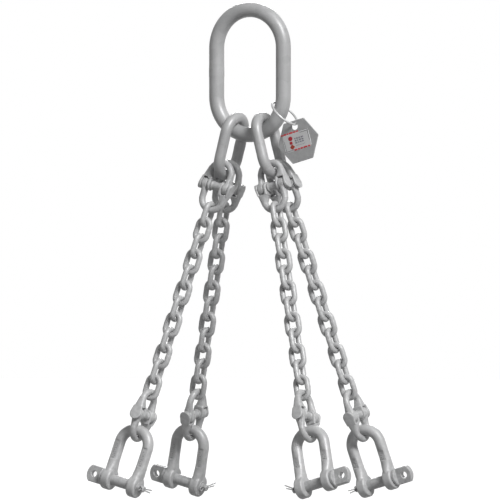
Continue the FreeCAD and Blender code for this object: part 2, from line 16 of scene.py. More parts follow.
import bmesh
import bpy
from mathutils import Matrix, Vector

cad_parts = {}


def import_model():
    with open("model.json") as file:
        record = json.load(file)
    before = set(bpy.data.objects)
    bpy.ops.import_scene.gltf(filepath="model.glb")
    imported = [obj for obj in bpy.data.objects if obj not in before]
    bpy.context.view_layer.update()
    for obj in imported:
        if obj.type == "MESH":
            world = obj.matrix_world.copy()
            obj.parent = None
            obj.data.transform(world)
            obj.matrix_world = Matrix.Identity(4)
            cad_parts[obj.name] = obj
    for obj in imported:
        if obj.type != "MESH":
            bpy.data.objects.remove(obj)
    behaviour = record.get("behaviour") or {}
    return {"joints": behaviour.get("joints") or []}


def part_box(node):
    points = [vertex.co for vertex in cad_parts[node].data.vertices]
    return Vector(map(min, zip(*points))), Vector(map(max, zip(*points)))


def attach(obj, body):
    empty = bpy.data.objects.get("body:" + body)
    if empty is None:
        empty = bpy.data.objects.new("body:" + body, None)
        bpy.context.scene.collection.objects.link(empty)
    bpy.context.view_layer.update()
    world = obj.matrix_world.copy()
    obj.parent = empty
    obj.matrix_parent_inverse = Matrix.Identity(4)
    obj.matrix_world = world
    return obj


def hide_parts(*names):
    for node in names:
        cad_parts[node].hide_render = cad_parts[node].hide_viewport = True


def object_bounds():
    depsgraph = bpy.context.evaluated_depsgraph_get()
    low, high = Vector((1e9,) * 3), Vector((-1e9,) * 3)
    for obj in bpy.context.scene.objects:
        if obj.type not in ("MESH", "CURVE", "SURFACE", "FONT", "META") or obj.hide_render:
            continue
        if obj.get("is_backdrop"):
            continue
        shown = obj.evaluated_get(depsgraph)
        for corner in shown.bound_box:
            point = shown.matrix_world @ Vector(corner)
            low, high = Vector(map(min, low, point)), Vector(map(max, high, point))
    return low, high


LOG = logging.getLogger("chain_sling")
MM = 0.001
X_AXIS, Y_AXIS, Z_AXIS = Vector((1, 0, 0)), Vector((0, 1, 0)), Vector((0, 0, 1))
Ring = list[Vector]
Radius = Callable[[float], float]


class Slot(Enum):
    """The record's material slots."""

    LINK = "forged_link_steel"
    COUPLING = "coupling_steel"
    CHAIN = "chain_steel"
    SHACKLE = "shackle_steel"
    PIN = "pin_steel"
    WIRE = "spring_wire"
    TAG = "tag_metal"


class Side(Enum):
    """The side of the sling that a leg hangs on."""

    LEFT = -1
    RIGHT = 1


class Depth(Enum):
    """Whether a leg hangs at the front or at the back."""

    FRONT = -1
    BACK = 1


# ---------------------------------------------------------------- finishes


SPECULAR = 0.22  # mirror of the zinc's non-metal share
FLAKE_SHARE, GRAIN_SHARE = 0.3, 0.22  # how far flakes and grain tint the zinc
RUBBED = 0.22  # lightness that rubbing adds to an edge


def grey(value: float) -> Vector:
    """Return a neutral grey."""
    return Vector((value,) * 3)


@dataclass(frozen=True)
class Galvanised:
    """A zinc-coated steel surface.

    Attributes:
        slot: Material slot that it stands for.
        colour: Mean grey of the zinc.
        shade: How much darker the dull patches are, as a share.
        gloss: Roughness of the clean zinc.
        dull: Roughness of the dull patches.
        metal: Share of the surface that mirrors as bare metal.
        patch: Size of the dull patches, in millimetres.
        grain: Size of the surface grain, in millimetres.
        relief: Height of the grain, in millimetres.
    """

    slot: Slot
    colour: tuple[float, float, float]
    shade: float
    gloss: float
    dull: float
    metal: float
    patch: float
    grain: float
    relief: float

    def material(self) -> bpy.types.Material:
        """Build the node material.

        Returns:
            The new material, named after its slot.
        """
        made = bpy.data.materials.new(self.slot.value)
        made.use_nodes = True
        tree = Nodes(made.node_tree)
        shader = tree.find("BSDF_PRINCIPLED")
        shader.inputs["Metallic"].default_value = self.metal
        shader.inputs["Specular IOR Level"].default_value = SPECULAR
        place = tree.add("ShaderNodeTexCoord").outputs["Object"]
        patches = tree.noise(place, 1 / (self.patch * MM), detail=4.0, roughness=0.62)
        flakes = tree.add("ShaderNodeTexVoronoi")
        flakes.inputs["Scale"].default_value = 2.2 / (self.patch * MM)
        tree.join(place, flakes.inputs["Vector"])
        speckle = tree.noise(place, 1 / (self.grain * MM), detail=2.0, roughness=0.7)
        clean = Vector(self.colour)
        worn = tree.ramp(patches, (0.32, clean * (1 - self.shade)),
                         (0.62, clean * (1 + self.shade / 3)))
        spangle = tree.ramp(flakes.outputs["Color"], (0.2, grey(0.42)), (0.8, grey(0.58)))
        flaked = tree.mix(FLAKE_SHARE, worn, spangle, "OVERLAY")
        specks = tree.ramp(speckle, (0.3, grey(0.35)), (0.7, grey(0.65)))
        grained = tree.mix(GRAIN_SHARE, flaked, specks, "OVERLAY")
        edge = tree.add("ShaderNodeNewGeometry").outputs["Pointiness"]
        rubbed = tree.ramp(edge, (0.52, grey(0)), (0.62, grey(RUBBED)))
        tree.join(tree.mix(1.0, grained, rubbed, "ADD"), shader.inputs["Base Color"])
        tree.join(tree.span(patches, 0.3, 0.7, self.dull, self.gloss), shader.inputs["Roughness"])
        fine = tree.bump(speckle, self.relief)
        tree.join(tree.bump(patches, self.relief * 2, fine), shader.inputs["Normal"])
        return made


@dataclass(frozen=True)
class Ink:
    """Print on the tag.

    Attributes:
        name: Name of the finish.
        colour: Its colour.
        wear: Share of lightness that rubbing takes or gives.
    """

    name: str
    colour: tuple[float, float, float]
    wear: float = 0.25

    def material(self) -> bpy.types.Material:
        """Build the node material.

        Returns:
            The new material.
        """
        made = bpy.data.materials.new(self.name)
        made.use_nodes = True
        tree = Nodes(made.node_tree)
        shader = tree.find("BSDF_PRINCIPLED")
        shader.inputs["Roughness"].default_value = 0.5
        place = tree.add("ShaderNodeTexCoord").outputs["Object"]
        rub = tree.noise(place, 1 / (1.4 * MM), detail=3.0, roughness=0.6)
        base = Vector(self.colour)
        tree.join(tree.ramp(rub, (0.35, base * (1 - self.wear)), (0.7, base * (1 + self.wear))),
                  shader.inputs["Base Color"])
        tree.join(tree.bump(rub, 0.04), shader.inputs["Normal"])
        return made


class Nodes:
    """A short way to write a node tree."""

    def __init__(self, tree: bpy.types.NodeTree) -> None:
        """Keep the tree to write in.

        Args:
            tree: The material's or the world's tree.
        """
        self.tree = tree

    def add(self, kind: str) -> bpy.types.Node:
        """Add a node of that kind and return it."""
        return self.tree.nodes.new(kind)

    def find(self, kind: str) -> bpy.types.Node:
        """Return the tree's first node of that type."""
        return next(node for node in self.tree.nodes if node.type == kind)

    def join(self, source: bpy.types.NodeSocket, target: bpy.types.NodeSocket) -> None:
        """Link an output to an input."""
        self.tree.links.new(source, target)

    def noise(self, place: bpy.types.NodeSocket, scale: float, detail: float,
              roughness: float) -> bpy.types.NodeSocket:
        """Add smooth noise.

        Args:
            place: Coordinates that it follows.
            scale: Features per metre.
            detail: Octaves.
            roughness: Share that each finer octave keeps.

        Returns:
            Its value output.
        """
        node = self.add("ShaderNodeTexNoise")
        node.inputs["Scale"].default_value = scale
        node.inputs["Detail"].default_value = detail
        node.inputs["Roughness"].default_value = roughness
        self.join(place, node.inputs["Vector"])
        return node.outputs["Fac"]

    def ramp(self, value: bpy.types.NodeSocket,
             *stops: tuple[float, Vector]) -> bpy.types.NodeSocket:
        """Turn a value into a colour.

        Args:
            value: The value.
            stops: Places from 0 to 1 with their colours.

        Returns:
            The colour output.
        """
        node = self.add("ShaderNodeValToRGB")
        for element, (place, colour) in zip(node.color_ramp.elements, stops):
            element.position = place
            element.color = (*colour, 1.0)
        self.join(value, node.inputs["Fac"])
        return node.outputs["Color"]

    def span(self, value: bpy.types.NodeSocket, low: float, high: float, first: float,
             last: float) -> bpy.types.NodeSocket:
        """Map a value's range to another.

        Args:
            value: The value.
            low: Where the range starts.
            high: Where it ends.
            first: Result at its start.
            last: Result at its end.

        Returns:
            The mapped value.
        """
        node = self.add("ShaderNodeMapRange")
        for name, number in (("From Min", low), ("From Max", high), ("To Min", first),
                             ("To Max", last)):
            node.inputs[name].default_value = number
        self.join(value, node.inputs["Value"])
        return node.outputs["Result"]

    def bump(self, height: bpy.types.NodeSocket, relief: float,
             under: bpy.types.NodeSocket | None = None) -> bpy.types.NodeSocket:
        """Add relief to the shading.

        Args:
            height: The height, from 0 to 1.
            relief: What a height of 1 stands for, in millimetres.
            under: Normals that it adds to.

        Returns:
            The normal output.
        """
        node = self.add("ShaderNodeBump")
        node.inputs["Strength"].default_value = 1.0
        node.inputs["Distance"].default_value = relief * MM
        self.join(height, node.inputs["Height"])
        if under:
            self.join(under, node.inputs["Normal"])
        return node.outputs["Normal"]

    def mix(self, share: float, first: bpy.types.NodeSocket, second: bpy.types.NodeSocket,
            way: str) -> bpy.types.NodeSocket:
        """Mix two colours.

        Args:
            share: Share of the second colour.
            first: The first colour.
            second: The second colour.
            way: Blend mode.

        Returns:
            The mixed colour.
        """
        node = self.add("ShaderNodeMix")
        node.data_type = "RGBA"
        node.blend_type = way
        node.inputs[0].default_value = share
        self.join(first, node.inputs[6])
        self.join(second, node.inputs[7])
        return node.outputs[2]


class Wardrobe:
    """The sling's finishes, each made once."""

    FINISHES = (
        Galvanised(Slot.LINK, (0.41, 0.412, 0.415), 0.04, 0.37, 0.43, 0.12, 30.0, 0.9, 0.006),
        Galvanised(Slot.CHAIN, (0.47, 0.472, 0.475), 0.12, 0.38, 0.50, 0.12, 7.0, 0.8, 0.035),
        Galvanised(Slot.COUPLING, (0.46, 0.462, 0.465), 0.14, 0.40, 0.52, 0.12, 7.0, 0.9, 0.045),
        Galvanised(Slot.SHACKLE, (0.45, 0.452, 0.455), 0.08, 0.38, 0.48, 0.12, 12.0, 0.9, 0.022),
        Galvanised(Slot.PIN, (0.42, 0.422, 0.425), 0.16, 0.44, 0.58, 0.12, 6.0, 0.8, 0.050),
        Galvanised(Slot.WIRE, (0.56, 0.562, 0.565), 0.05, 0.30, 0.36, 0.20, 5.0, 0.6, 0.006),
        Galvanised(Slot.TAG, (0.33, 0.332, 0.335), 0.09, 0.50, 0.60, 0.06, 9.0, 0.5, 0.020),
    )
    DULL_WIRE = Galvanised(Slot.WIRE, (0.36, 0.362, 0.365), 0.12, 0.36, 0.46, 0.2, 3.0, 0.5, 0.01)
    # Darker steel for the shackles' raised marks: painted shade in the sunk panels.
    DULL_MARKS = Galvanised(Slot.SHACKLE, (0.26, 0.262, 0.265), 0.1, 0.5, 0.6, 0.1, 4.0, 0.9, 0.02)
    INKS = (
        Ink("label_grey", (0.55, 0.552, 0.555), 0.05),
        Ink("frame_dark", (0.16, 0.16, 0.17)),
        Ink("frame_light", (0.88, 0.89, 0.90)),
        Ink("bar_red", (0.55, 0.03, 0.04)),
        Ink("mark_red", (0.34, 0.01, 0.02)),
        Ink("mark_brown", (0.30, 0.04, 0.02)),
        Ink("mark_grey", (0.22, 0.22, 0.25)),
    )

    def __init__(self) -> None:
        """Build every finish."""
        self.steel = {finish.slot: finish.material() for finish in self.FINISHES}
        self.other = {ink.name: ink.material() for ink in self.INKS}
        self.other["dull_wire"] = self.DULL_WIRE.material()
        self.other["dull_marks"] = self.DULL_MARKS.material()

    def dress(self, piece: bpy.types.Object, slot: Slot, finish: str | None = None) -> None:
        """Give a piece its finish.

        Args:
            piece: The piece.
            slot: The record's slot that it belongs to.
            finish: Name of a finish other than the slot's own: an ink, duller steel, or darker
                steel that paints shade.
        """
        piece.data.materials.clear()
        piece.data.materials.append(self.other[finish] if finish else self.steel[slot])


# ---------------------------------------------------------------- shapes


@dataclass
class Shell:
    """A closed surface, in millimetres."""

    points: list[Vector]
    faces: list[tuple[int, ...]]

    @classmethod
    def through(cls, rings: Sequence[Ring], closed: bool = False) -> Shell:
        """Skin rings of equally many points.

        Args:
            rings: The rings in order.
            closed: Whether the last ring joins the first; otherwise both ends are capped.

        Returns:
            The shell.
        """
        around = len(rings[0])
        points = [point for ring in rings for point in ring]
        faces: list[tuple[int, ...]] = []
        for number in range(len(rings) if closed else len(rings) - 1):
            here, there = number * around, (number + 1) % len(rings) * around
            for step in range(around):
                beside = (step + 1) % around
                faces.append((here + step, here + beside, there + beside, there + step))
        if not closed:
            last = (len(rings) - 1) * around
            faces.append(tuple(reversed(range(around))))
            faces.append(tuple(range(last, last + around)))
        return cls(points, faces)


def circle(radius: float, count: int) -> Iterable[tuple[float, float]]:
    """Points of a circle about the origin, as pairs."""
    for step in range(count):
        angle = 2 * math.pi * step / count
        yield radius * math.cos(angle), radius * math.sin(angle)


def slab_ring(centre: Vector, wide: float, deep: float, square: float, count: int = 48) -> Ring:
    """A ring between an ellipse and a rectangle, level with the XY plane.

    Args:
        centre: Its centre.
        wide: Half its width along X.
        deep: Half its width along Y.
        square: 2 for an ellipse, more for squarer corners.
        count: Number of points.

    Returns:
        The ring.
    """
    ring = []
    for cosine, sine in circle(1.0, count):
        x = math.copysign(abs(cosine) ** (2 / square), cosine) * wide
        y = math.copysign(abs(sine) ** (2 / square), sine) * deep
        ring.append(centre + Vector((x, y, 0)))
    return ring


def tube(path: Sequence[Vector], normal: Vector, radius: Radius, closed: bool = False,
         around: int = 32) -> Shell:
    """A round bar along a flat path.

    Args:
        path: Points of its centre line.
        normal: Normal of the plane that the path lies in.
        radius: Radius of the bar at a share of the path's length.
        closed: Whether the path closes on itself.
        around: Points around the bar.

    Returns:
        The bar's shell.
    """
    count = len(path)
    rings = []
    for number, point in enumerate(path):
        before = path[(number - 1) % count] if closed or number else point
        after = path[(number + 1) % count] if closed or number < count - 1 else point
        across = (after - before).normalized().cross(normal)
        size = radius(number / count)
        rings.append([point + across * x + normal * y for x, y in circle(size, around)])
    return Shell.through(rings, closed)


def lathe(profile: Sequence[tuple[float, float]], around: int = 64) -> Shell:
    """A solid turned about the X axis.

    Args:
        profile: Pairs of place along X and radius.
        around: Points around the axis.

    Returns:
        The solid's shell.
    """
    return Shell.through([[Vector((along, y, z)) for y, z in circle(radius, around)]
                          for along, radius in profile])


def turned(edges: Sequence[tuple[float, float]], rounding: float,
           steps: int = 5) -> list[tuple[float, float]]:
    """A lathe profile whose corners are rounded.

    Args:
        edges: Corners of the profile, as place along X and radius.
        rounding: Radius of the corners.
        steps: Points on each rounded corner.

    Returns:
        The profile with rounded corners, closed towards the axis at both ends.
    """
    tiny = 0.01
    corners = [Vector(edge) for edge in edges]
    profile = [(corners[0].x, tiny)]
    first, last = Vector((corners[0].x, tiny)), Vector((corners[-1].x, tiny))
    for number, corner in enumerate(corners):
        before = corners[number - 1] if number else first
        after = corners[number + 1] if number < len(corners) - 1 else last
        reach = min(rounding, (before - corner).length / 2, (after - corner).length / 2)
        start = corner + (before - corner).normalized() * reach
        end = corner + (after - corner).normalized() * reach
        for step in range(steps + 1):
            share = step / steps
            point = start * (1 - share) ** 2 + corner * 2 * share * (1 - share) + end * share ** 2
            profile.append((point.x, point.y))
    profile.append((corners[-1].x, tiny))
    return profile


def smoothed(mesh: bpy.types.Mesh) -> bpy.types.Mesh:
    """Shade every face of a mesh smooth."""
    mesh.polygons.foreach_set("use_smooth", [True] * len(mesh.polygons))
    return mesh


def to_mesh(name: str, shells: Iterable[Shell]) -> bpy.types.Mesh:
    """Make one smooth mesh in metres from shells in millimetres.

    Args:
        name: Name of the mesh.
        shells: The shells.

    Returns:
        The mesh.
    """
    points: list[Vector] = []
    faces: list[tuple[int, ...]] = []
    for shell in shells:
        start = len(points)
        points += [point * MM for point in shell.points]
        faces += [tuple(start + corner for corner in face) for face in shell.faces]
    mesh = bpy.data.meshes.new(name)
    mesh.from_pydata(points, [], faces)
    work = bmesh.new()
    work.from_mesh(mesh)
    bmesh.ops.recalc_face_normals(work, faces=work.faces)
    work.to_mesh(mesh)
    work.free()
    return smoothed(mesh)


def standing(name: str, mesh: bpy.types.Mesh, place: Matrix) -> bpy.types.Object:
    """Stand a mesh in the scene.

    Args:
        name: Name of the piece.
        mesh: Its mesh.
        place: Its place, in metres.

    Returns:
        The new object.
    """
    piece = bpy.data.objects.new(name, mesh)
    bpy.context.scene.collection.objects.link(piece)
    piece.matrix_world = place
    return piece


def sharpened(mesh: bpy.types.Mesh, angle: float) -> bpy.types.Mesh:
    """Keep edges sharper than an angle, in degrees, crisp in the shading."""
    mesh.set_sharp_from_angle(angle=math.radians(angle))
    return mesh


@dataclass
class Forging:
    """A forged solid, grown from overlapping shells whose joints melt into fillets.

    Attributes:
        name: Name of its mesh.
        cell: Size of the cells that it is grown in, in millimetres.
        passes: How often its surface is smoothed.
        keep: Share of the faces that is kept.
        shells: The shells that it is grown from.
    """

    name: str
    cell: float
    passes: int
    keep: float
    shells: list[Shell] = field(default_factory=list)

    def mesh(self, press: Callable[[Vector], Vector] | None = None) -> bpy.types.Mesh:
        """Grow the solid.

        Args:
            press: Where each point goes when marks are pressed in, in millimetres.

        Returns:
            Its mesh, in metres.
        """
        blank = standing(self.name + "_blank", to_mesh(self.name, self.shells), Matrix())
        grow = blank.modifiers.new("grow", "REMESH")
        grow.mode = "VOXEL"
        grow.voxel_size = self.cell * MM
        smooth = blank.modifiers.new("smooth", "SMOOTH")
        smooth.factor = 0.5
        smooth.iterations = self.passes
        grown = self.taken(blank)
        if press:
            for vertex in grown.vertices:
                vertex.co = press(vertex.co / MM) * MM
        blank.modifiers.clear()
        blank.data = grown
        thin = blank.modifiers.new("thin", "DECIMATE")
        thin.ratio = self.keep
        forged = self.taken(blank)
        bpy.data.objects.remove(blank)
        return smoothed(forged)

    @staticmethod
    def taken(blank: bpy.types.Object) -> bpy.types.Mesh:
        """Return an object's mesh with its modifiers applied."""
        shown = blank.evaluated_get(bpy.context.evaluated_depsgraph_get())
        return bpy.data.meshes.new_from_object(shown)


def bend(arm: float, height: float, start: float, end: float, steps: int) -> list[Vector]:
    """Points of an arc in the XZ plane.

    Args:
        arm: Its radius.
        height: Height of its centre.
        start: First angle, in degrees from +X towards +Z.
        end: Last angle.
        steps: Number of points.

    Returns:
        The points, both ends included.
    """
    angles = (math.radians(start + (end - start) * step / (steps - 1)) for step in range(steps))
    return [Vector((arm * math.cos(angle), 0, height + arm * math.sin(angle))) for angle in angles]


# ---------------------------------------------------------------- round links


@dataclass
class RoundLink:
    """A link of round bar in the XZ plane, centred on the origin, closed by a weld.

    Attributes:
        name: Name of its mesh.
        rod: Diameter of the bar.
        length: Inside length.
        width: Inside width.
        swell: How far the weld stands out.
        seam: Width of the weld along the bar.
        around: Points around the bar.
        steps: Points along each bend.
        ridge: Height, distance and width of the ridge beside the weld, as shares of the
            swell and of the seam.
    """

    name: str
    rod: float
    length: float
    width: float
    swell: float
    seam: float
    around: int
    steps: int
    ridge: tuple[float, float, float] = (0.35, 0.8, 0.18)

    def path(self) -> list[Vector]:
        """Points of the centre line, from the weld round and back to it."""
        arm = (self.width + self.rod) / 2
        straight = (self.length - self.width) / 2
        side = [straight * (2 * step / self.steps - 1) for step in range(1, self.steps)]
        left = [Vector((-arm, 0, -place)) for place in side]
        right = [Vector((arm, 0, place)) for place in side]
        return (right + bend(arm, straight, 0, 180, self.steps) + left
                + bend(arm, -straight, 180, 360, self.steps))

    def mesh(self) -> bpy.types.Mesh:
        """Model the link.

        Returns:
            Its mesh.
        """
        path = self.path()
        weld = Vector(((self.width + self.rod) / 2, 0, 0))
        tall, away, wide = self.ridge

        def radius(share: float) -> float:
            """Radius of the bar there, with the weld's swell and its trimmed edges."""
            reach = (path[round(share * len(path)) % len(path)] - weld).length / self.seam
            edge = tall * math.exp(-((reach - away) / wide) ** 2)
            return self.rod / 2 + self.swell * (math.exp(-reach ** 2) + edge)

        return to_mesh(self.name, [tube(path, Y_AXIS, radius, True, self.around)])


@dataclass
class Head:
    """The master link and the two intermediate links.

    Attributes:
        master: The master link.
        middle: An intermediate link.
        spread: Slope of the intermediate links, in degrees.
    """

    master: RoundLink = field(default_factory=lambda: RoundLink(
        "master_link_bar", 22, 160, 90, 0.28, 7.0, 72, 96))
    middle: RoundLink = field(default_factory=lambda: RoundLink(
        "intermediate_link_bar", 16, 70, 34, 0.25, 5.0, 64, 64))
    spread: float = 15.0

    def build(self, wardrobe: Wardrobe) -> None:
        """Model the three links and hang them on their bodies.

        Args:
            wardrobe: The finishes.
        """
        place = Matrix.Translation(middle_of("master_link")) @ Matrix.Rotation(math.pi, 4, "Z")
        fit(standing("master_link_bar", self.master.mesh(), place), "master_link",
            Slot.LINK, wardrobe)
        mesh = self.middle.mesh()
        for side in Side:
            node = "intermediate_link_" + side.name.lower()
            tilt = Matrix.Rotation(math.radians(-side.value * self.spread), 4, "Y")
            place = (Matrix.Translation(middle_of(node)) @ tilt
                     @ Matrix.Rotation(math.pi / 2, 4, "Z"))
            fit(standing(node + "_bar", mesh, place), node, Slot.LINK, wardrobe)


def middle_of(node: str) -> Vector:
    """Return the middle of a node's box, in metres."""
    low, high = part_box(node)
    return (low + high) / 2


def fit(piece: bpy.types.Object, node: str, slot: Slot, wardrobe: Wardrobe,
        body: str | None = None) -> None:
    """Let a piece stand for a CAD node, and report it.

    Args:
        piece: The piece, in place.
        node: The node that it replaces.
        slot: Its material slot.
        wardrobe: The finishes.
        body: The body that it rides on, if not the node's namesake.
    """
    wardrobe.dress(piece, slot)
    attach(piece, body or node)
    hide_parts(node)
    LOG.info("%s replaces %s on %s", piece.name, node, body or node)


def add(piece: bpy.types.Object, body: str, slot: Slot, wardrobe: Wardrobe,
        finish: str | None = None) -> None:
    """Let an added piece ride on a body, and report it.

    Args:
        piece: The piece, in place.
        body: The body that it rides on.
        slot: Its material slot.
        wardrobe: The finishes.
        finish: Name of its finish, if not the slot's own.
    """
    wardrobe.dress(piece, slot, finish)
    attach(piece, body)
    LOG.info("%s rides on %s", piece.name, body)


# ---------------------------------------------------------------- coupling


@dataclass
class Coupling:
    """A two-part coupling: two forged halves, a load pin and a bush.

    A half stands crown up in the XZ plane with the pin's axis on X through the origin, its
    fork on -X and its tongue on +X.

    Attributes:
        rod: Diameter of the bow's bar.
        arm: Distance of each arm's centre from the middle.
        reach: Height of the bow's centre line above the pin.
        lug: Diameter of the lugs.
        tongue: Width of the tongue.
        slot: Width of the fork's slot.
        outer: Width of the fork's outer cheek.
        inner: Width of the fork's inner cheek.
        root: Height of the slot's root above the pin.
        shoulder: Height where the fork runs out into the bar.
        slant: Slope of the outer cheek's face.
        pin: Diameter of the load pin.
        bush: Diameter of the bush.
    """

    rod: float = 9.5
    arm: float = 17.5
    reach: float = 35.75
    lug: float = 18.0
    tongue: float = 8.2
    slot: float = 8.8
    outer: float = 6.0
    inner: float = 5.0
    root: float = 9.8
    shoulder: float = 26.0
    slant: float = 0.22
    pin: float = 10.0
    bush: float = 14.0

    @property
    def outside(self) -> float:
        """Distance of the outer cheek's face from the middle."""
        return self.arm + self.slot / 2 + self.outer

    @property
    def inside(self) -> float:
        """Distance of the inner cheek's face from the middle."""
        return self.arm - self.slot / 2 - self.inner

    def depth(self, height: float) -> float:
        """Half the fork's depth at a height: round below, straight to the bar above."""
        radius, top = self.lug / 2, self.rod / 2 * 0.98
        taper = math.asin((radius - top) / self.shoulder)
        if height < radius * math.sin(taper):
            return math.sqrt(max(radius ** 2 - height ** 2, 0.04))
        return max(radius / math.cos(taper) - height * math.tan(taper), top)

    def face(self, height: float) -> float:
        """Place along X of the outer cheek's slanting face at a height."""
        return -self.outside + self.slant * (height + self.lug / 4)

    def cheek(self, first: float, last: float, inner: Callable[[float], float],
              outer: Callable[[float], float], steps: int) -> Shell:
        """A part of the fork, as a stack of level rings.

        Args:
            first: Its lowest height.
            last: Its highest height.
            inner: Place of its inner side at a height.
            outer: Place of its outer side at a height.
            steps: Number of rings.

        Returns:
            The shell.
        """
        rings = []
        for step in range(steps):
            height = first + (last - first) * (1 - math.cos(math.pi * step / (steps - 1))) / 2
            left, right = outer(height), inner(height)
            fade = min(max((height - self.root) / (self.shoulder - self.root), 0), 1)
            rings.append(slab_ring(Vector(((left + right) / 2, 0, height)), (right - left) / 2,
                                   self.depth(height), 4.5 - 2.5 * math.sqrt(fade)))
        return Shell.through(rings)

    def fork(self) -> list[Shell]:
        """The fork's two cheeks and the solid above its slot."""
        low, top = -self.lug / 2 + 0.05, self.root + 1.5
        gap_out, gap_in = -self.arm - self.slot / 2, -self.arm + self.slot / 2
        run = self.shoulder - self.root
        edge = -self.arm + self.rod / 2 - 0.2

        def inner(height: float) -> float:
            """Inner side of the solid above the slot, which draws in to the bar."""
            share = min(max((height - self.root) / (run * 0.9), 0), 1)
            return -self.inside + (edge + self.inside) * math.sin(share * math.pi / 2)

        return [
            self.cheek(low, top, lambda height: gap_out, self.face, 24),
            self.cheek(low, top, lambda height: -self.inside, lambda height: gap_in, 24),
            self.cheek(self.root, self.shoulder, inner, self.face, 16),
        ]

    def tongue_side(self) -> list[Shell]:
        """The tongue's lug and its neck up to the bar."""
        half, radius = self.tongue / 2, self.lug / 2
        lug = lathe(turned([(self.arm - half, radius), (self.arm + half, radius)], 1.2))
        levels = ((1.0, 0.96, 0.98, 2.6), (5.0, 0.86, 0.98, 2.6), (9.5, 0.74, 1.0, 2.5),
                  (14.0, 0.62, 1.06, 2.3), (19.0, 0.54, 1.12, 2.1), (23.0, 0.51, 1.12, 2.0))
        neck = [slab_ring(Vector((self.arm, 0, height)), half * wide, radius * deep, square)
                for height, deep, wide, square in levels]
        return [lug, Shell.through(neck)]

    def half(self) -> bpy.types.Mesh:
        """Forge a half.

        Returns:
            Its mesh.
        """
        centre = self.reach - self.arm
        foot = [Vector((self.arm, 0, height)) for height in (6.0, 9.0, 12.0, 15.0)]
        root = [Vector((-self.arm, 0, height)) for height in (17.0, 14.0)]
        path = foot + bend(self.arm, centre, 0, 180, 48) + root
        bow = tube(path, Y_AXIS, lambda share: self.rod / 2)
        return Forging("coupling_half", 0.42, 4, 0.5,
                       [bow] + self.fork() + self.tongue_side()).mesh()

    def load_pin(self) -> bpy.types.Mesh:
        """Turn the load pin, its ends just inside the outer cheeks."""
        end = self.outside - self.outer * 0.55
        profile = turned([(-end, self.pin / 2), (end, self.pin / 2)], 0.6)
        return sharpened(to_mesh("load_pin", [lathe(profile)]), 40)

    def bushing(self) -> bpy.types.Mesh:
        """Turn the bush, with its waist between two collars."""
        end, rim, waist = self.inside - 0.3, self.bush / 2, self.bush / 2 - 0.9
        profile = turned([(-end, rim), (-end + 2.6, rim), (-end + 3.4, waist),
                          (end - 3.4, waist), (end - 2.6, rim), (end, rim)], 0.6)
        return to_mesh("coupling_bush", [lathe(profile)])


# ---------------------------------------------------------------- shackle


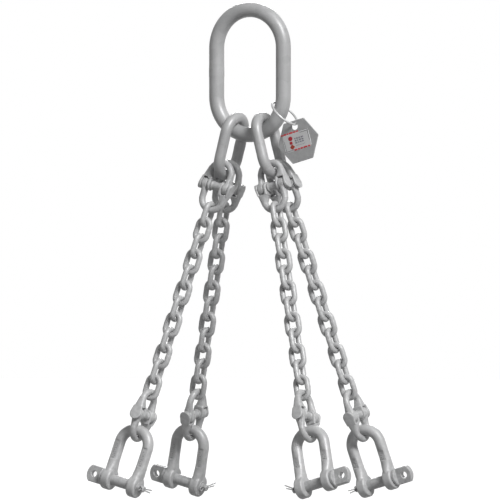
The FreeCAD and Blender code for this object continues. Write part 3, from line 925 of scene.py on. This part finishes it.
@dataclass
class Shackle:
    """A dee shackle with a flat-headed pin and a split cotter.

    The pin's axis is X through the origin, its head on -X, and the crown is up.

    Attributes:
        rod: Diameter of the bow.
        jaw: Width between the eyes.
        eye: Diameter of the eyes.
        width: Width of an eye.
        reach: Height of the crown's centre line above the pin.
        flare: Height where the eyes run out into the arms.
        panel: Width of the sunk panels.
        sunk: Distance of the panels' floor from the bar's centre.
        panel_foot: Height of the panels' lower ends.
        panel_long: Length of the front panels.
        panel_short: Length of the back panels.
        bolt: Diameter of the pin.
        collar: Diameter and width of the pin's collar.
        grip: Length, height and thickness of the pin's flat head.
        grip_end: Radius of the head's end.
        grip_hole: Diameter of the head's hole, and its distance from the head's end.
        shank: Length of the full shank past the far eye, and its bevel.
        tail: Diameter of the slim tail, its length past the far eye, and its bevel.
        cross_hole: Diameter of the cotter's hole, and its distance from the tail's end.
    """

    rod: float = 16.0
    jaw: float = 31.0
    eye: float = 32.5
    width: float = 14.0
    reach: float = 80.0
    flare: float = 27.0
    panel: float = 9.0
    sunk: float = 6.7
    panel_foot: float = 28.5
    panel_long: float = 29.0
    panel_short: float = 15.5
    bolt: float = 16.0
    collar: tuple[float, float] = (25.0, 4.5)
    grip: tuple[float, float, float] = (24.0, 24.5, 9.0)
    grip_end: float = 17.0
    grip_hole: tuple[float, float] = (10.0, 11.5)
    shank: tuple[float, float] = (0.8, 0.6)
    tail: tuple[float, float, float] = (9.4, 9.6, 0.8)
    cross_hole: tuple[float, float] = (4.5, 4.2)

    @property
    def arm(self) -> float:
        """Distance of each arm's centre from the middle."""
        return (self.jaw + self.rod) / 2

    @property
    def outside(self) -> float:
        """Distance of an eye's outer face from the middle."""
        return self.jaw / 2 + self.width

    def flare_shell(self, side: int) -> Shell:
        """One eye's flare, as a stack of level rings.

        Args:
            side: -1 or 1.

        Returns:
            The shell.
        """
        middle, half, rod = (self.jaw + self.width) / 2, self.eye / 2, self.rod / 2
        levels = ((0.02, 0.96, 0.80), (0.20, 0.915, 0.79), (0.42, 0.78, 0.88), (0.64, 0.65, 0.98),
                  (0.82, 0.555, 1.0), (1.0, 0.50, 1.0), (1.15, 0.49, 1.0))
        rings = []
        for share, deep, wide in levels:
            shift = (self.arm - middle) * min(share, 1) ** 2
            centre = Vector((side * (middle + shift), 0, self.flare * share))
            rings.append(slab_ring(centre, rod * wide, half * deep, 2.2))
        return Shell.through(rings)

    def stamped(self, point: Vector) -> Vector:
        """Where a point of the bow goes when the four marking panels are pressed in.

        Args:
            point: The point.

        Returns:
            Its new place.
        """
        length = self.panel_long if point.y < 0 else self.panel_short
        beside = abs(abs(point.x) - self.arm) < self.panel / 2
        if beside and 0 < point.z - self.panel_foot < length and abs(point.y) > self.sunk:
            return Vector((point.x, math.copysign(self.sunk, point.y), point.z))
        return point

    def bow(self) -> bpy.types.Mesh:
        """Forge the bow.

        Returns:
            Its mesh.
        """
        centre = self.reach - self.arm
        rise = [Vector((self.arm, 0, self.flare * 0.8 + (centre - self.flare * 0.8) * step / 8))
                for step in range(8)]
        fall = [Vector((-point.x, 0, point.z)) for point in reversed(rise)]
        path = rise + bend(self.arm, centre, 0, 180, 56) + fall
        shells = [tube(path, Y_AXIS, lambda share: self.rod / 2, around=48)]
        for side in (-1, 1):
            ends = sorted((side * self.jaw / 2, side * self.outside))
            radius = self.eye / 2
            shells.append(lathe(turned([(ends[0], radius), (ends[1], radius)], 3.4), 96))
            shells.append(self.flare_shell(side))
        return Forging("shackle_bow", 0.55, 5, 0.5, shells).mesh(self.stamped)

    def marks(self) -> bpy.types.Mesh:
        """Plain raised marks in rows across the four panels."""
        shells = []
        pitch, tall, proud = 2.9, 0.8, 0.35
        rows = (((0.0, 2.6),), ((-1.7, 0.8), (1.5, 1.1)), ((0.7, 1.7),), ((-1.3, 1.2), (1.9, 0.6)),
                ((-0.8, 1.6),))
        for way, length in ((-1, self.panel_long), (1, self.panel_short)):
            for side in (-1, 1):
                for number in range(int((length - 4) / pitch)):
                    height = self.panel_foot + 3 + number * pitch
                    for aside, wide in rows[(number + (side > 0) * 2) % len(rows)]:
                        ring = [slab_ring(Vector((aside, height, 0)), wide * share, tall * share,
                                          3.0, 16) for share in (1.0, 1.0, 0.7)]
                        lift = (self.sunk - 0.5, self.sunk + proud * 0.6, self.sunk + proud)
                        shells.append(Shell.through([
                            [Vector((side * self.arm + point.x, way * out, point.y))
                             for point in level] for level, out in zip(ring, lift)]))
        return to_mesh("shackle_marks", shells)

    def pin(self) -> bpy.types.Mesh:
        """Forge the pin and bore its two holes.

        Returns:
            Its mesh.
        """
        face = self.outside + 0.3
        foot, radius = face + self.collar[1], self.bolt / 2
        past, bevel = self.shank
        step = self.outside + past
        shank = lathe(turned([(-face - 1, radius), (step - bevel, radius),
                              (step, radius - bevel)], 0.3))
        across, past, bevel = self.tail
        end = self.outside + past
        tail = lathe(turned([(step - 2, across / 2), (end - bevel, across / 2),
                             (end, across / 2 - bevel)], 0.5))
        collar = lathe(turned([(-foot, self.collar[0] / 2), (-face, self.collar[0] / 2)], 1.0), 96)
        length, height, thick = self.grip
        tip = foot + length
        corner = math.asin(height / 2 / self.grip_end)
        arc = [math.pi - corner + 2 * corner * step / 24 for step in range(25)]
        outline = [Vector((-foot + 2, 0, height / 2))]
        outline += [Vector((self.grip_end - tip + self.grip_end * math.cos(turn), 0,
                            self.grip_end * math.sin(turn))) for turn in arc]
        outline += [Vector((-foot + 2, 0, -height / 2))]
        middle = sum(outline, Vector()) / len(outline)
        levels = ((-0.5, 0.93), (-0.41, 1.0), (0.41, 1.0), (0.5, 0.93))
        plate = Shell.through([[middle + (point - middle) * size + Y_AXIS * thick * share
                                for point in outline] for share, size in levels])
        blank = Forging("shackle_pin", 0.42, 2, 0.6, [shank, tail, collar, plate]).mesh()
        hole, inset = self.grip_hole
        cross, back = self.cross_hole
        return bored(blank, [(Vector((inset - tip, 0, 0)), hole / 2),
                             (Vector((end - back, 0, 0)), cross / 2)])


def bored(mesh: bpy.types.Mesh, holes: Sequence[tuple[Vector, float]]) -> bpy.types.Mesh:
    """Bore holes along Y through a mesh.

    Args:
        mesh: The mesh, in metres.
        holes: Centre and radius of each hole, in millimetres.

    Returns:
        The bored mesh.
    """
    deep = 30.0
    drills = [tube([centre - Y_AXIS * deep, centre + Y_AXIS * deep], X_AXIS,
                   lambda share, size=radius: size, around=48) for centre, radius in holes]
    work, drill = (standing("bore_work", mesh, Matrix()),
                   standing("bore_drill", to_mesh("bore_drill", drills), Matrix()))
    bore = work.modifiers.new("bore", "BOOLEAN")
    bore.operation = "DIFFERENCE"
    bore.solver = "EXACT"
    bore.object = drill
    done = Forging.taken(work)
    bpy.data.objects.remove(work)
    bpy.data.objects.remove(drill)
    return sharpened(done, 42)


@dataclass
class Cotter:
    """A split cotter in the YZ plane: eye on -Y, legs splayed past the pin.

    Attributes:
        rod: Diameter of its rod.
        eye: Diameter of its eye, at the rod's centre.
        tail: Diameter of the pin's tail, which it locks.
        knee: Distance from the pin's axis to the bends of the legs.
        long: Length of the long leg past its bend.
        short: Length of the short leg past its bend.
        splay: Splay of each leg, in degrees.
        gap: Half the gap between the legs in the pin.
        mouth: Half the opening of the eye towards the legs, in degrees.
    """

    rod: float = 1.9
    eye: float = 7.2
    tail: float = 9.4
    knee: float = 7.0
    long: float = 22.0
    short: float = 19.0
    splay: float = 3.0
    gap: float = 0.08
    mouth: float = 34.0

    def leg(self, side: int, length: float) -> list[Vector]:
        """Points of a leg's centre line from its tip to its neck.

        Args:
            side: -1 or 1.
            length: Length past the bend.

        Returns:
            The points.
        """
        lift, turn = self.rod / 2 + self.gap, math.radians(self.splay)
        points = [Vector((0, self.knee + length * share * math.cos(turn),
                          side * (lift + length * share * math.sin(turn))))
                  for share in (1.0, 0.75, 0.5, 0.25, 0.08)]
        straight = self.knee + self.tail / 2
        points += [Vector((0, self.knee - 1 - (straight - 1) * step / 12, side * lift))
                   for step in range(13)]
        return points

    def mesh(self) -> bpy.types.Mesh:
        """Bend the cotter from one rod.

        Returns:
            Its mesh.
        """
        centre = -(self.tail + self.eye + self.rod) / 2
        opening = math.radians(self.mouth)
        arc = [opening + (2 * math.pi - 2 * opening) * step / 40 for step in range(41)]
        eye = [Vector((0, centre + self.eye / 2 * math.cos(turn), self.eye / 2 * math.sin(turn)))
               for turn in arc]
        path = self.leg(1, self.long) + eye + self.leg(-1, self.short)[::-1]
        shell = tube(path, X_AXIS, lambda share: self.rod / 2, around=20)
        return sharpened(to_mesh("split_cotter", [shell]), 60)


# ---------------------------------------------------------------- legs


@dataclass(frozen=True)
class LegFrame:
    """A leg's own axes and stations, read from its hinges.

    Attributes:
        name: The leg's name.
        side: Side that it hangs on.
        depth: Front or back.
        turn: Rotation from the leg's axes to the sling's.
        upper_pin: Middle of the upper coupling, in metres.
        upper_end: Middle of the bar that bears the chain.
        lower_pin: Middle of the lower coupling.
        bolt: Middle of the shackle's pin.
    """

    name: str
    side: Side
    depth: Depth
    turn: Matrix
    upper_pin: Vector
    upper_end: Vector
    lower_pin: Vector
    bolt: Vector

    @classmethod
    def read(cls, joints: dict[str, dict], side: Side, depth: Depth) -> LegFrame:
        """Read a leg's frame.

        Args:
            joints: The frame's joints by name.
            side: The leg's side.
            depth: Front or back.

        Returns:
            The leg's frame.
        """
        name = "%s_%s" % (depth.name.lower(), side.name.lower())

        def anchor(joint: str) -> Vector:
            """A joint's place."""
            return Vector(joints["%s_%s" % (name, joint)]["pos_m"])

        bolt, upper = anchor("shackle_pin_turn"), anchor("upper_load_pin_hinge")
        across = -side.value * Vector(joints[name + "_shackle_pin_turn"]["axis"])
        up = (upper - bolt).normalized()
        turn = Matrix((across, up.cross(across), up)).transposed().to_4x4()
        return cls(name, side, depth, turn, upper, anchor("chain_top_swing"),
                   anchor("lower_load_pin_hinge"), bolt)

    def at(self, origin: Vector, *turns: Matrix) -> Matrix:
        """A place on the leg: a point and turns made there in the leg's own axes."""
        place = Matrix.Translation(origin) @ self.turn
        for turn in turns:
            place = place @ turn
        return place


def about(axis: str, degrees: float) -> Matrix:
    """Return a turn about an axis."""
    return Matrix.Rotation(math.radians(degrees), 4, axis)


@dataclass
class Legs:
    """The four legs: couplings, chain and shackle on each.

    Attributes:
        coupling: The couplings' design.
        shackle: The shackles' design.
        cotter: The cotters' design.
        link: A chain link.
        pitch: Distance from link to link.
        first: Distance of the first link's middle below the coupling's lower bar.
        links: Links on a leg.
        segment: Links that one CAD node holds.
    """

    coupling: Coupling = field(default_factory=Coupling)
    shackle: Shackle = field(default_factory=Shackle)
    cotter: Cotter = field(default_factory=Cotter)
    link: RoundLink = field(default_factory=lambda: RoundLink(
        "chain_link", 8, 24.3, 11.2, 0.22, 2.2, 36, 26))
    pitch: float = 24.0
    first: float = 7.1
    links: int = 12
    segment: int = 3

    def build(self, joints: dict[str, dict], wardrobe: Wardrobe) -> None:
        """Model each piece once and hang copies of it on the four legs.

        Args:
            joints: The frame's joints by name.
            wardrobe: The finishes.
        """
        meshes = {
            "half": self.coupling.half(), "load_pin": self.coupling.load_pin(),
            "bush": self.coupling.bushing(), "link": self.link.mesh(),
            "bow": self.shackle.bow(), "marks": self.shackle.marks(),
            "pin": self.shackle.pin(), "cotter": self.cotter.mesh(),
        }
        for side in Side:
            for depth in Depth:
                leg = LegFrame.read(joints, side, depth)
                own = {name: mesh.copy() for name, mesh in meshes.items()}
                self.couplings(leg, own, wardrobe)
                self.chain(leg, own, wardrobe)
                self.shackles(leg, own, wardrobe)

    def couplings(self, leg: LegFrame, meshes: dict[str, bpy.types.Mesh],
                  wardrobe: Wardrobe) -> None:
        """Hang a leg's two couplings.

        Args:
            leg: The leg.
            meshes: The leg's meshes by name.
            wardrobe: The finishes.
        """
        outward = 0 if leg.side is Side.LEFT else 180
        lower_turn = outward - 90 * leg.depth.value
        for place, origin, facing in (("upper", leg.upper_pin, 0),
                                      ("lower", leg.lower_pin, lower_turn)):
            stem = "%s_%s_coupling" % (leg.name, place)
            turn = about("Z", facing)
            for end, turns in (("top", (turn,)), ("bottom", (turn, about("Y", 180)))):
                node = "%s_%s" % (stem, end)
                fit(standing(node + "_half", meshes["half"], leg.at(origin, *turns)),
                    node, Slot.COUPLING, wardrobe)
            spot, body = leg.at(origin, turn), stem + "_top"
            fit(standing(stem + "_load_pin", meshes["load_pin"], spot), stem + "_pin",
                Slot.PIN, wardrobe, body)
            add(standing(stem + "_bush", meshes["bush"], spot), body, Slot.PIN, wardrobe)

    def chain(self, leg: LegFrame, meshes: dict[str, bpy.types.Mesh],
              wardrobe: Wardrobe) -> None:
        """Hang a leg's chain, link by link.

        Args:
            leg: The leg.
            meshes: The leg's meshes by name.
            wardrobe: The finishes.
        """
        up = leg.turn.to_3x3() @ Z_AXIS
        for number in range(self.links):
            node = "%s_chain_%d" % (leg.name, number // self.segment + 1)
            middle = leg.upper_end - up * (self.first + number * self.pitch) * MM
            facing = about("Z", 90 if number % 2 == 0 else 180 * (number // 2 % 2))
            fit(standing("%s_link_%02d" % (leg.name, number + 1), meshes["link"],
                         leg.at(middle, facing)), node, Slot.CHAIN, wardrobe)

    def shackles(self, leg: LegFrame, meshes: dict[str, bpy.types.Mesh],
                 wardrobe: Wardrobe) -> None:
        """Hang a leg's shackle with its pin and cotter.

        Args:
            leg: The leg.
            meshes: The leg's meshes by name.
            wardrobe: The finishes.
        """
        spot = leg.at(leg.bolt)
        stem = leg.name + "_shackle"
        fit(standing(stem + "_dee", meshes["bow"], spot), stem + "_bow", Slot.SHACKLE, wardrobe)
        # The raised marks take darker steel, which paints the shade in the sunk panels.
        add(standing(stem + "_marks", meshes["marks"], spot), stem + "_bow", Slot.SHACKLE, wardrobe,
            "dull_marks")
        fit(standing(stem + "_bolt", meshes["pin"], spot), stem + "_pin", Slot.PIN, wardrobe)
        across = self.shackle.outside + self.shackle.tail[1] - self.shackle.cross_hole[1]
        shift = leg.turn.to_3x3() @ X_AXIS * across * MM
        cotter = standing(stem + "_split_cotter", meshes["cotter"], leg.at(leg.bolt + shift))
        fit(cotter, stem + "_cotter", Slot.WIRE, wardrobe, stem + "_pin")
        wardrobe.dress(cotter, Slot.WIRE, "dull_wire")


# ---------------------------------------------------------------- tag


@dataclass
class Tag:
    """The six-sided tag on its wire ring.

    The tag's own axes: X and Y in its face, Y towards the hole, Z out of its front.

    Attributes:
        wire: Diameter of the ring's wire.
        ring: Diameter of the ring, at the wire's centre.
        flats: Width of the tag across its flats.
        thick: Its thickness.
        corner: Radius of its corners.
        hole: Diameter of its hole.
        inset: Distance of the hole's centre from the edge.
        turn: Turn of the tag in its own plane, in degrees.
        label: Middle, width and height of the printed label.
        film: Thickness of the label.
        proud: How far the print stands out.
    """

    wire: float = 3.4
    ring: float = 45.6
    flats: float = 60.4
    thick: float = 2.0
    corner: float = 2.5
    hole: float = 10.0
    inset: float = 8.5
    turn: float = 15.3
    label: tuple[float, float, float, float] = (-1.7, 0.0, 45.0, 25.6)
    film: float = 0.12
    proud: float = 0.1

    def build(self, joints: dict[str, dict], wardrobe: Wardrobe) -> None:
        """Model the ring, the plate and its print.

        Args:
            joints: The frame's joints by name.
            wardrobe: The finishes.
        """
        axis = Vector(joints["tag_ring_swing"]["axis"])
        place = (Matrix.Translation(middle_of("tag_ring"))
                 @ axis.to_track_quat("Y", "Z").to_matrix().to_4x4())
        fit(standing("tag_ring_wire", self.wire_ring(), place), "tag_ring", Slot.WIRE, wardrobe)
        face = Matrix.Translation(middle_of("tag_plate")) @ about("Y", -self.turn) @ about("X", 90)
        fit(standing("tag_hexagon", self.plate(), face), "tag_plate", Slot.TAG, wardrobe)
        for name, ink, shells in self.print(self.thick / 2):
            add(standing("tag_" + name, to_mesh("tag_" + name, shells), face), "tag_plate",
                Slot.TAG, wardrobe, ink)

    def wire_ring(self) -> bpy.types.Mesh:
        """Bend the ring, with a narrow gap where its ends meet."""
        gap = math.radians(1.6)
        path = [Vector((self.ring / 2 * math.cos(turn), 0, self.ring / 2 * math.sin(turn)))
                for turn in (math.radians(70) + gap + (2 * math.pi - 2 * gap) * step / 120
                             for step in range(121))]
        shell = tube(path, Y_AXIS, lambda share: self.wire / 2, around=24)
        return sharpened(to_mesh("tag_ring_wire", [shell]), 60)

    def outline(self, shrink: float) -> Ring:
        """The tag's rounded outline, drawn in by a distance."""
        points = []
        radius = max(self.corner - shrink, 0.3)
        reach = (self.flats / 2 - shrink - radius) / math.cos(math.pi / 6)
        for number in range(6):
            corner = math.radians(60 * number)
            for step in range(7):
                turn = corner + math.radians(-30 + 10 * step)
                points.append(Vector((reach * math.cos(corner) + radius * math.cos(turn),
                                      reach * math.sin(corner) + radius * math.sin(turn), 0)))
        return points

    def plate(self) -> bpy.types.Mesh:
        """Press the plate: rolled edges, and a hole with a soft rim."""
        half = self.thick / 2
        centre = Vector((0, self.flats / 2 - self.inset, 0))
        levels = ((-1.0, 0.45), (-0.8, 0.12), (-0.45, 0.0), (0.45, 0.0), (0.8, 0.12), (1.0, 0.45))
        outer = [[point + Z_AXIS * half * level for point in self.outline(shrink)]
                 for level, shrink in levels]
        inner = [[centre + Vector((x, y, half * level))
                  for x, y in circle(self.hole / 2 + shrink, len(outer[0]))]
                 for level, shrink in levels]
        work = bmesh.new()
        rims: tuple[list[bmesh.types.BMEdge], ...] = ([], [])
        for rings in (outer, inner):
            made = [[work.verts.new(point * MM) for point in ring] for ring in rings]
            for low, high in zip(made, made[1:]):
                for step, vertex in enumerate(low):
                    beside = (step + 1) % len(low)
                    work.faces.new((vertex, low[beside], high[beside], high[step]))
            for rim, ring in zip(rims, (made[0], made[-1])):
                rim += [work.edges.get((vertex, ring[(step + 1) % len(ring)]))
                        for step, vertex in enumerate(ring)]
        for rim in rims:
            bmesh.ops.triangle_fill(work, use_beauty=True, edges=rim)
        bmesh.ops.recalc_face_normals(work, faces=work.faces)
        mesh = bpy.data.meshes.new("tag_hexagon")
        work.to_mesh(mesh)
        work.free()
        return sharpened(smoothed(mesh), 30)

    @staticmethod
    def bar(x: float, y: float, wide: float, tall: float, height: float,
            proud: float, square: float = 8.0) -> Shell:
        """A thin raised patch on the tag's face.

        Args:
            x: Its centre along X.
            y: Its centre along Y.
            wide: Its width.
            tall: Its height in the face.
            height: Height of the surface that it lies on.
            proud: How far it stands out.
            square: 2 for an ellipse, more for squarer corners.

        Returns:
            The shell.
        """
        levels = ((height - 0.3, 1.0), (height + proud * 0.7, 1.0), (height + proud, 0.97))
        return Shell.through([slab_ring(Vector((x, y, level)), wide / 2 * size, tall / 2 * size,
                                        square, 64) for level, size in levels])

    def print(self, front: float) -> list[tuple[str, str, list[Shell]]]:
        """The label and its plain print.

        Args:
            front: Height of the tag's front face.

        Returns:
            Name, ink and shells of each part.
        """
        x, y, wide, tall = self.label
        right, top = x + wide / 2, y + tall / 2
        left, foot = x - wide / 2, y - tall / 2
        top_of, proud = front + self.film, self.proud
        dark, light = ([self.bar(right - 7.5, top - inset, 15, line, top_of, proud),
                        self.bar(right - inset, top - 8.5, line, 16.5, top_of, proud),
                        self.bar(left + 7.5, foot + inset, 15, line, top_of, proud),
                        self.bar(left + inset, foot + 8.5, line, 16.5, top_of, proud)]
                       for inset, line in ((1.6, 0.9), (0.6, 0.5)))
        red = self.dashes(-26.0, 13.9, (3.4, 5.2, 2.6, 6.4, 4.0, 3.2), 2.3, front)
        red += self.dashes(-9.5, -11.6, (5.6, 3.0, 4.4, 6.8, 3.6), 2.2, top_of)
        disc = self.bar(-11.6, 6.0, 7.2, 6.6, top_of, proud, 2.0)
        square = self.bar(-12.0, -0.4, 4.6, 4.2, top_of, proud, 9.0)
        diamond = self.bar(-11.2, -6.6, 8.4, 7.8, top_of, proud, 1.1)
        grey = []
        for level, lengths in ((4.4, (2, 3, 3, 4)), (1.2, (3, 2, 4, 3)), (-2.0, (4, 2, 3, 3))):
            grey += self.dashes(-5.0, level, lengths, 2.2, top_of)
        grey += self.dashes(-4.5, -6.0, (1.0,) * 8, 1.2, top_of)
        return [
            ("label", "label_grey", [self.bar(x, y, wide, tall, front, self.film, 12.0)]),
            ("frame_dark", "frame_dark", dark),
            ("frame_light", "frame_light", light),
            ("bars_red", "bar_red", red),
            ("marks_red", "mark_red", [disc, square]),
            ("mark_diamond", "mark_brown", [diamond]),
            ("bars_grey", "mark_grey", grey),
        ]

    def dashes(self, start: float, level: float, lengths: Sequence[float], tall: float,
               height: float) -> list[Shell]:
        """A row of plain bars.

        Args:
            start: Where the row starts.
            level: Its place along Y.
            lengths: Lengths of the bars.
            tall: Their height in the face.
            height: Height of the surface that they lie on.

        Returns:
            The bars.
        """
        shells = []
        for length in lengths:
            shells.append(self.bar(start + length / 2, level, length, tall, height, self.proud))
            start += length + 1.0
        return shells


# ---------------------------------------------------------------- studio


@dataclass(frozen=True)
class Lamp:
    """A distant lamp.

    Attributes:
        name: Its name.
        right: Share of its direction to the camera's right.
        up: Share upwards.
        near: Share towards the camera.
        strength: Its strength.
        spread: Angle that it spans, in degrees.
    """

    name: str
    right: float
    up: float
    near: float
    strength: float
    spread: float


@dataclass
class Studio:
    """The floor, the light and the camera.

    Attributes:
        azimuth: Bearing of the camera's view, in degrees from +Y.
        span: Width of the view at the sling, in metres.
        lens: Focal length, in millimetres.
        sensor: Width of the sensor, in millimetres.
        aim: Height that the camera looks at, in metres.
        drop: Distance of the floor below the sling, in metres.
        floor_grey: Grey of the floor for the light that it throws back, and as it is seen.
        floor_glow: Light that the seen floor adds, so that it looks white.
        sky: Strength of the world's light from the horizon and from straight above.
        lamps: The key above and to the right, a fill in front and a lamp behind.
    """

    azimuth: float = 30.0
    span: float = 0.7273
    lens: float = 1500.0
    sensor: float = 36.0
    aim: float = -0.3387
    drop: float = 0.04
    floor_grey: tuple[float, float] = (0.16, 0.64)
    floor_glow: float = 0.42
    sky: tuple[float, float] = (0.02, 0.20)
    lamps: tuple[Lamp, ...] = (Lamp("key", 0.42, 0.62, 0.70, 3.4, 22.0),
                               Lamp("fill", 0.2, 0.0, 1.0, 0.3, 40.0),
                               Lamp("back", 0.0, 0.38, -0.92, 2.1, 24.0))

    def build(self) -> None:
        """Set up the floor, the world, the lamps and the camera."""
        bpy.context.scene.view_settings.view_transform = "Standard"
        self.floor()
        self.world()
        self.hang_lamps()
        self.camera()

    @property
    def axes(self) -> tuple[Vector, Vector]:
        """The view's direction to the right, and the direction from the sling to the camera."""
        bearing = math.radians(self.azimuth)
        return (Vector((math.cos(bearing), math.sin(bearing), 0)),
                Vector((math.sin(bearing), -math.cos(bearing), 0)))

    def floor(self) -> None:
        """Lay a pale floor that looks white and throws little light back up."""
        low, _ = (Vector(corner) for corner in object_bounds())
        bpy.ops.mesh.primitive_plane_add(size=60.0, location=(0, 0, low.z - self.drop))
        floor = bpy.context.object
        floor.name = "floor"
        made = bpy.data.materials.new("floor")
        made.use_nodes = True
        tree = Nodes(made.node_tree)
        shader = tree.find("BSDF_PRINCIPLED")
        shader.inputs["Roughness"].default_value = 0.9
        shader.inputs["Specular IOR Level"].default_value = 0.0
        seen = seen_directly(tree)
        tree.join(tree.span(seen, 0.0, 1.0, *self.floor_grey), shader.inputs["Base Color"])
        tree.join(tree.span(seen, 0.0, 1.0, 0.0, self.floor_glow),
                  shader.inputs["Emission Strength"])
        shader.inputs["Emission Color"].default_value = (1.0, 1.0, 1.0, 1.0)
        floor.data.materials.append(made)
        floor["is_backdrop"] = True

    def world(self) -> None:
        """Surround the sling with white to look at and soft light from above."""
        world = bpy.data.worlds.new("studio")
        bpy.context.scene.world = world
        world.use_nodes = True
        tree = Nodes(world.node_tree)
        back = tree.find("BACKGROUND")
        place = tree.add("ShaderNodeTexCoord").outputs["Generated"]
        split = tree.add("ShaderNodeSeparateXYZ")
        tree.join(place, split.inputs["Vector"])
        sky = tree.span(split.outputs["Z"], -0.3, 1.0, *self.sky)
        choice = tree.add("ShaderNodeMix")
        choice.data_type = "FLOAT"
        tree.join(seen_directly(tree), choice.inputs[0])
        tree.join(sky, choice.inputs[2])
        choice.inputs[3].default_value = 1.0
        tree.join(choice.outputs[0], back.inputs["Strength"])
        back.inputs["Color"].default_value = (1.0, 1.0, 1.0, 1.0)

    def hang_lamps(self) -> None:
        """Hang the lamps, each turned towards the sling."""
        right, near = self.axes
        for lamp in self.lamps:
            light = bpy.data.lights.new(lamp.name, "SUN")
            light.energy = lamp.strength
            light.angle = math.radians(lamp.spread)
            item = bpy.data.objects.new(lamp.name, light)
            way = right * lamp.right + Z_AXIS * lamp.up + near * lamp.near
            item.rotation_euler = way.to_track_quat("Z", "Y").to_euler()
            bpy.context.scene.collection.objects.link(item)

    def camera(self) -> None:
        """Stand the camera far away, level with the sling."""
        scene = bpy.context.scene
        view = bpy.data.cameras.new("camera")
        view.lens = self.lens
        view.sensor_width = self.sensor
        distance = self.span * self.lens / self.sensor
        view.clip_end = distance * 4
        item = bpy.data.objects.new("camera", view)
        _, near = self.axes
        item.location = near * distance + Z_AXIS * self.aim
        item.rotation_euler = near.to_track_quat("Z", "Y").to_euler()
        scene.collection.objects.link(item)
        scene.camera = item


def seen_directly(tree: Nodes) -> bpy.types.NodeSocket:
    """Add the share of rays that show a surface: camera, mirror and see-through rays.

    Args:
        tree: The tree to write in.

    Returns:
        1 for such rays, 0 for others.
    """
    path = tree.add("ShaderNodeLightPath")
    total = path.outputs["Is Camera Ray"]
    for name in ("Is Glossy Ray", "Is Transmission Ray"):
        higher = tree.add("ShaderNodeMath")
        higher.operation = "MAXIMUM"
        tree.join(total, higher.inputs[0])
        tree.join(path.outputs[name], higher.inputs[1])
        total = higher.outputs[0]
    return total


def corners(box: Iterable[Iterable[float]]) -> list[list[float]]:
    """Return a box's corners as plain lists of numbers."""
    return [[float(value) for value in corner] for corner in box]


def main() -> None:
    """Build the sling's looks on its frame, piece by piece."""
    logging.basicConfig(level=logging.INFO, format="%(name)s: %(message)s")
    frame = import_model()
    cad_box = corners(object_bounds())
    joints = {joint["name"]: joint for joint in frame["joints"]}
    wardrobe = Wardrobe()
    Head().build(wardrobe)
    Tag().build(joints, wardrobe)
    Legs().build(joints, wardrobe)
    Studio().build()
    {"cad": cad_box, "visual": corners(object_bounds())}


if __name__ == "__main__":
    main()
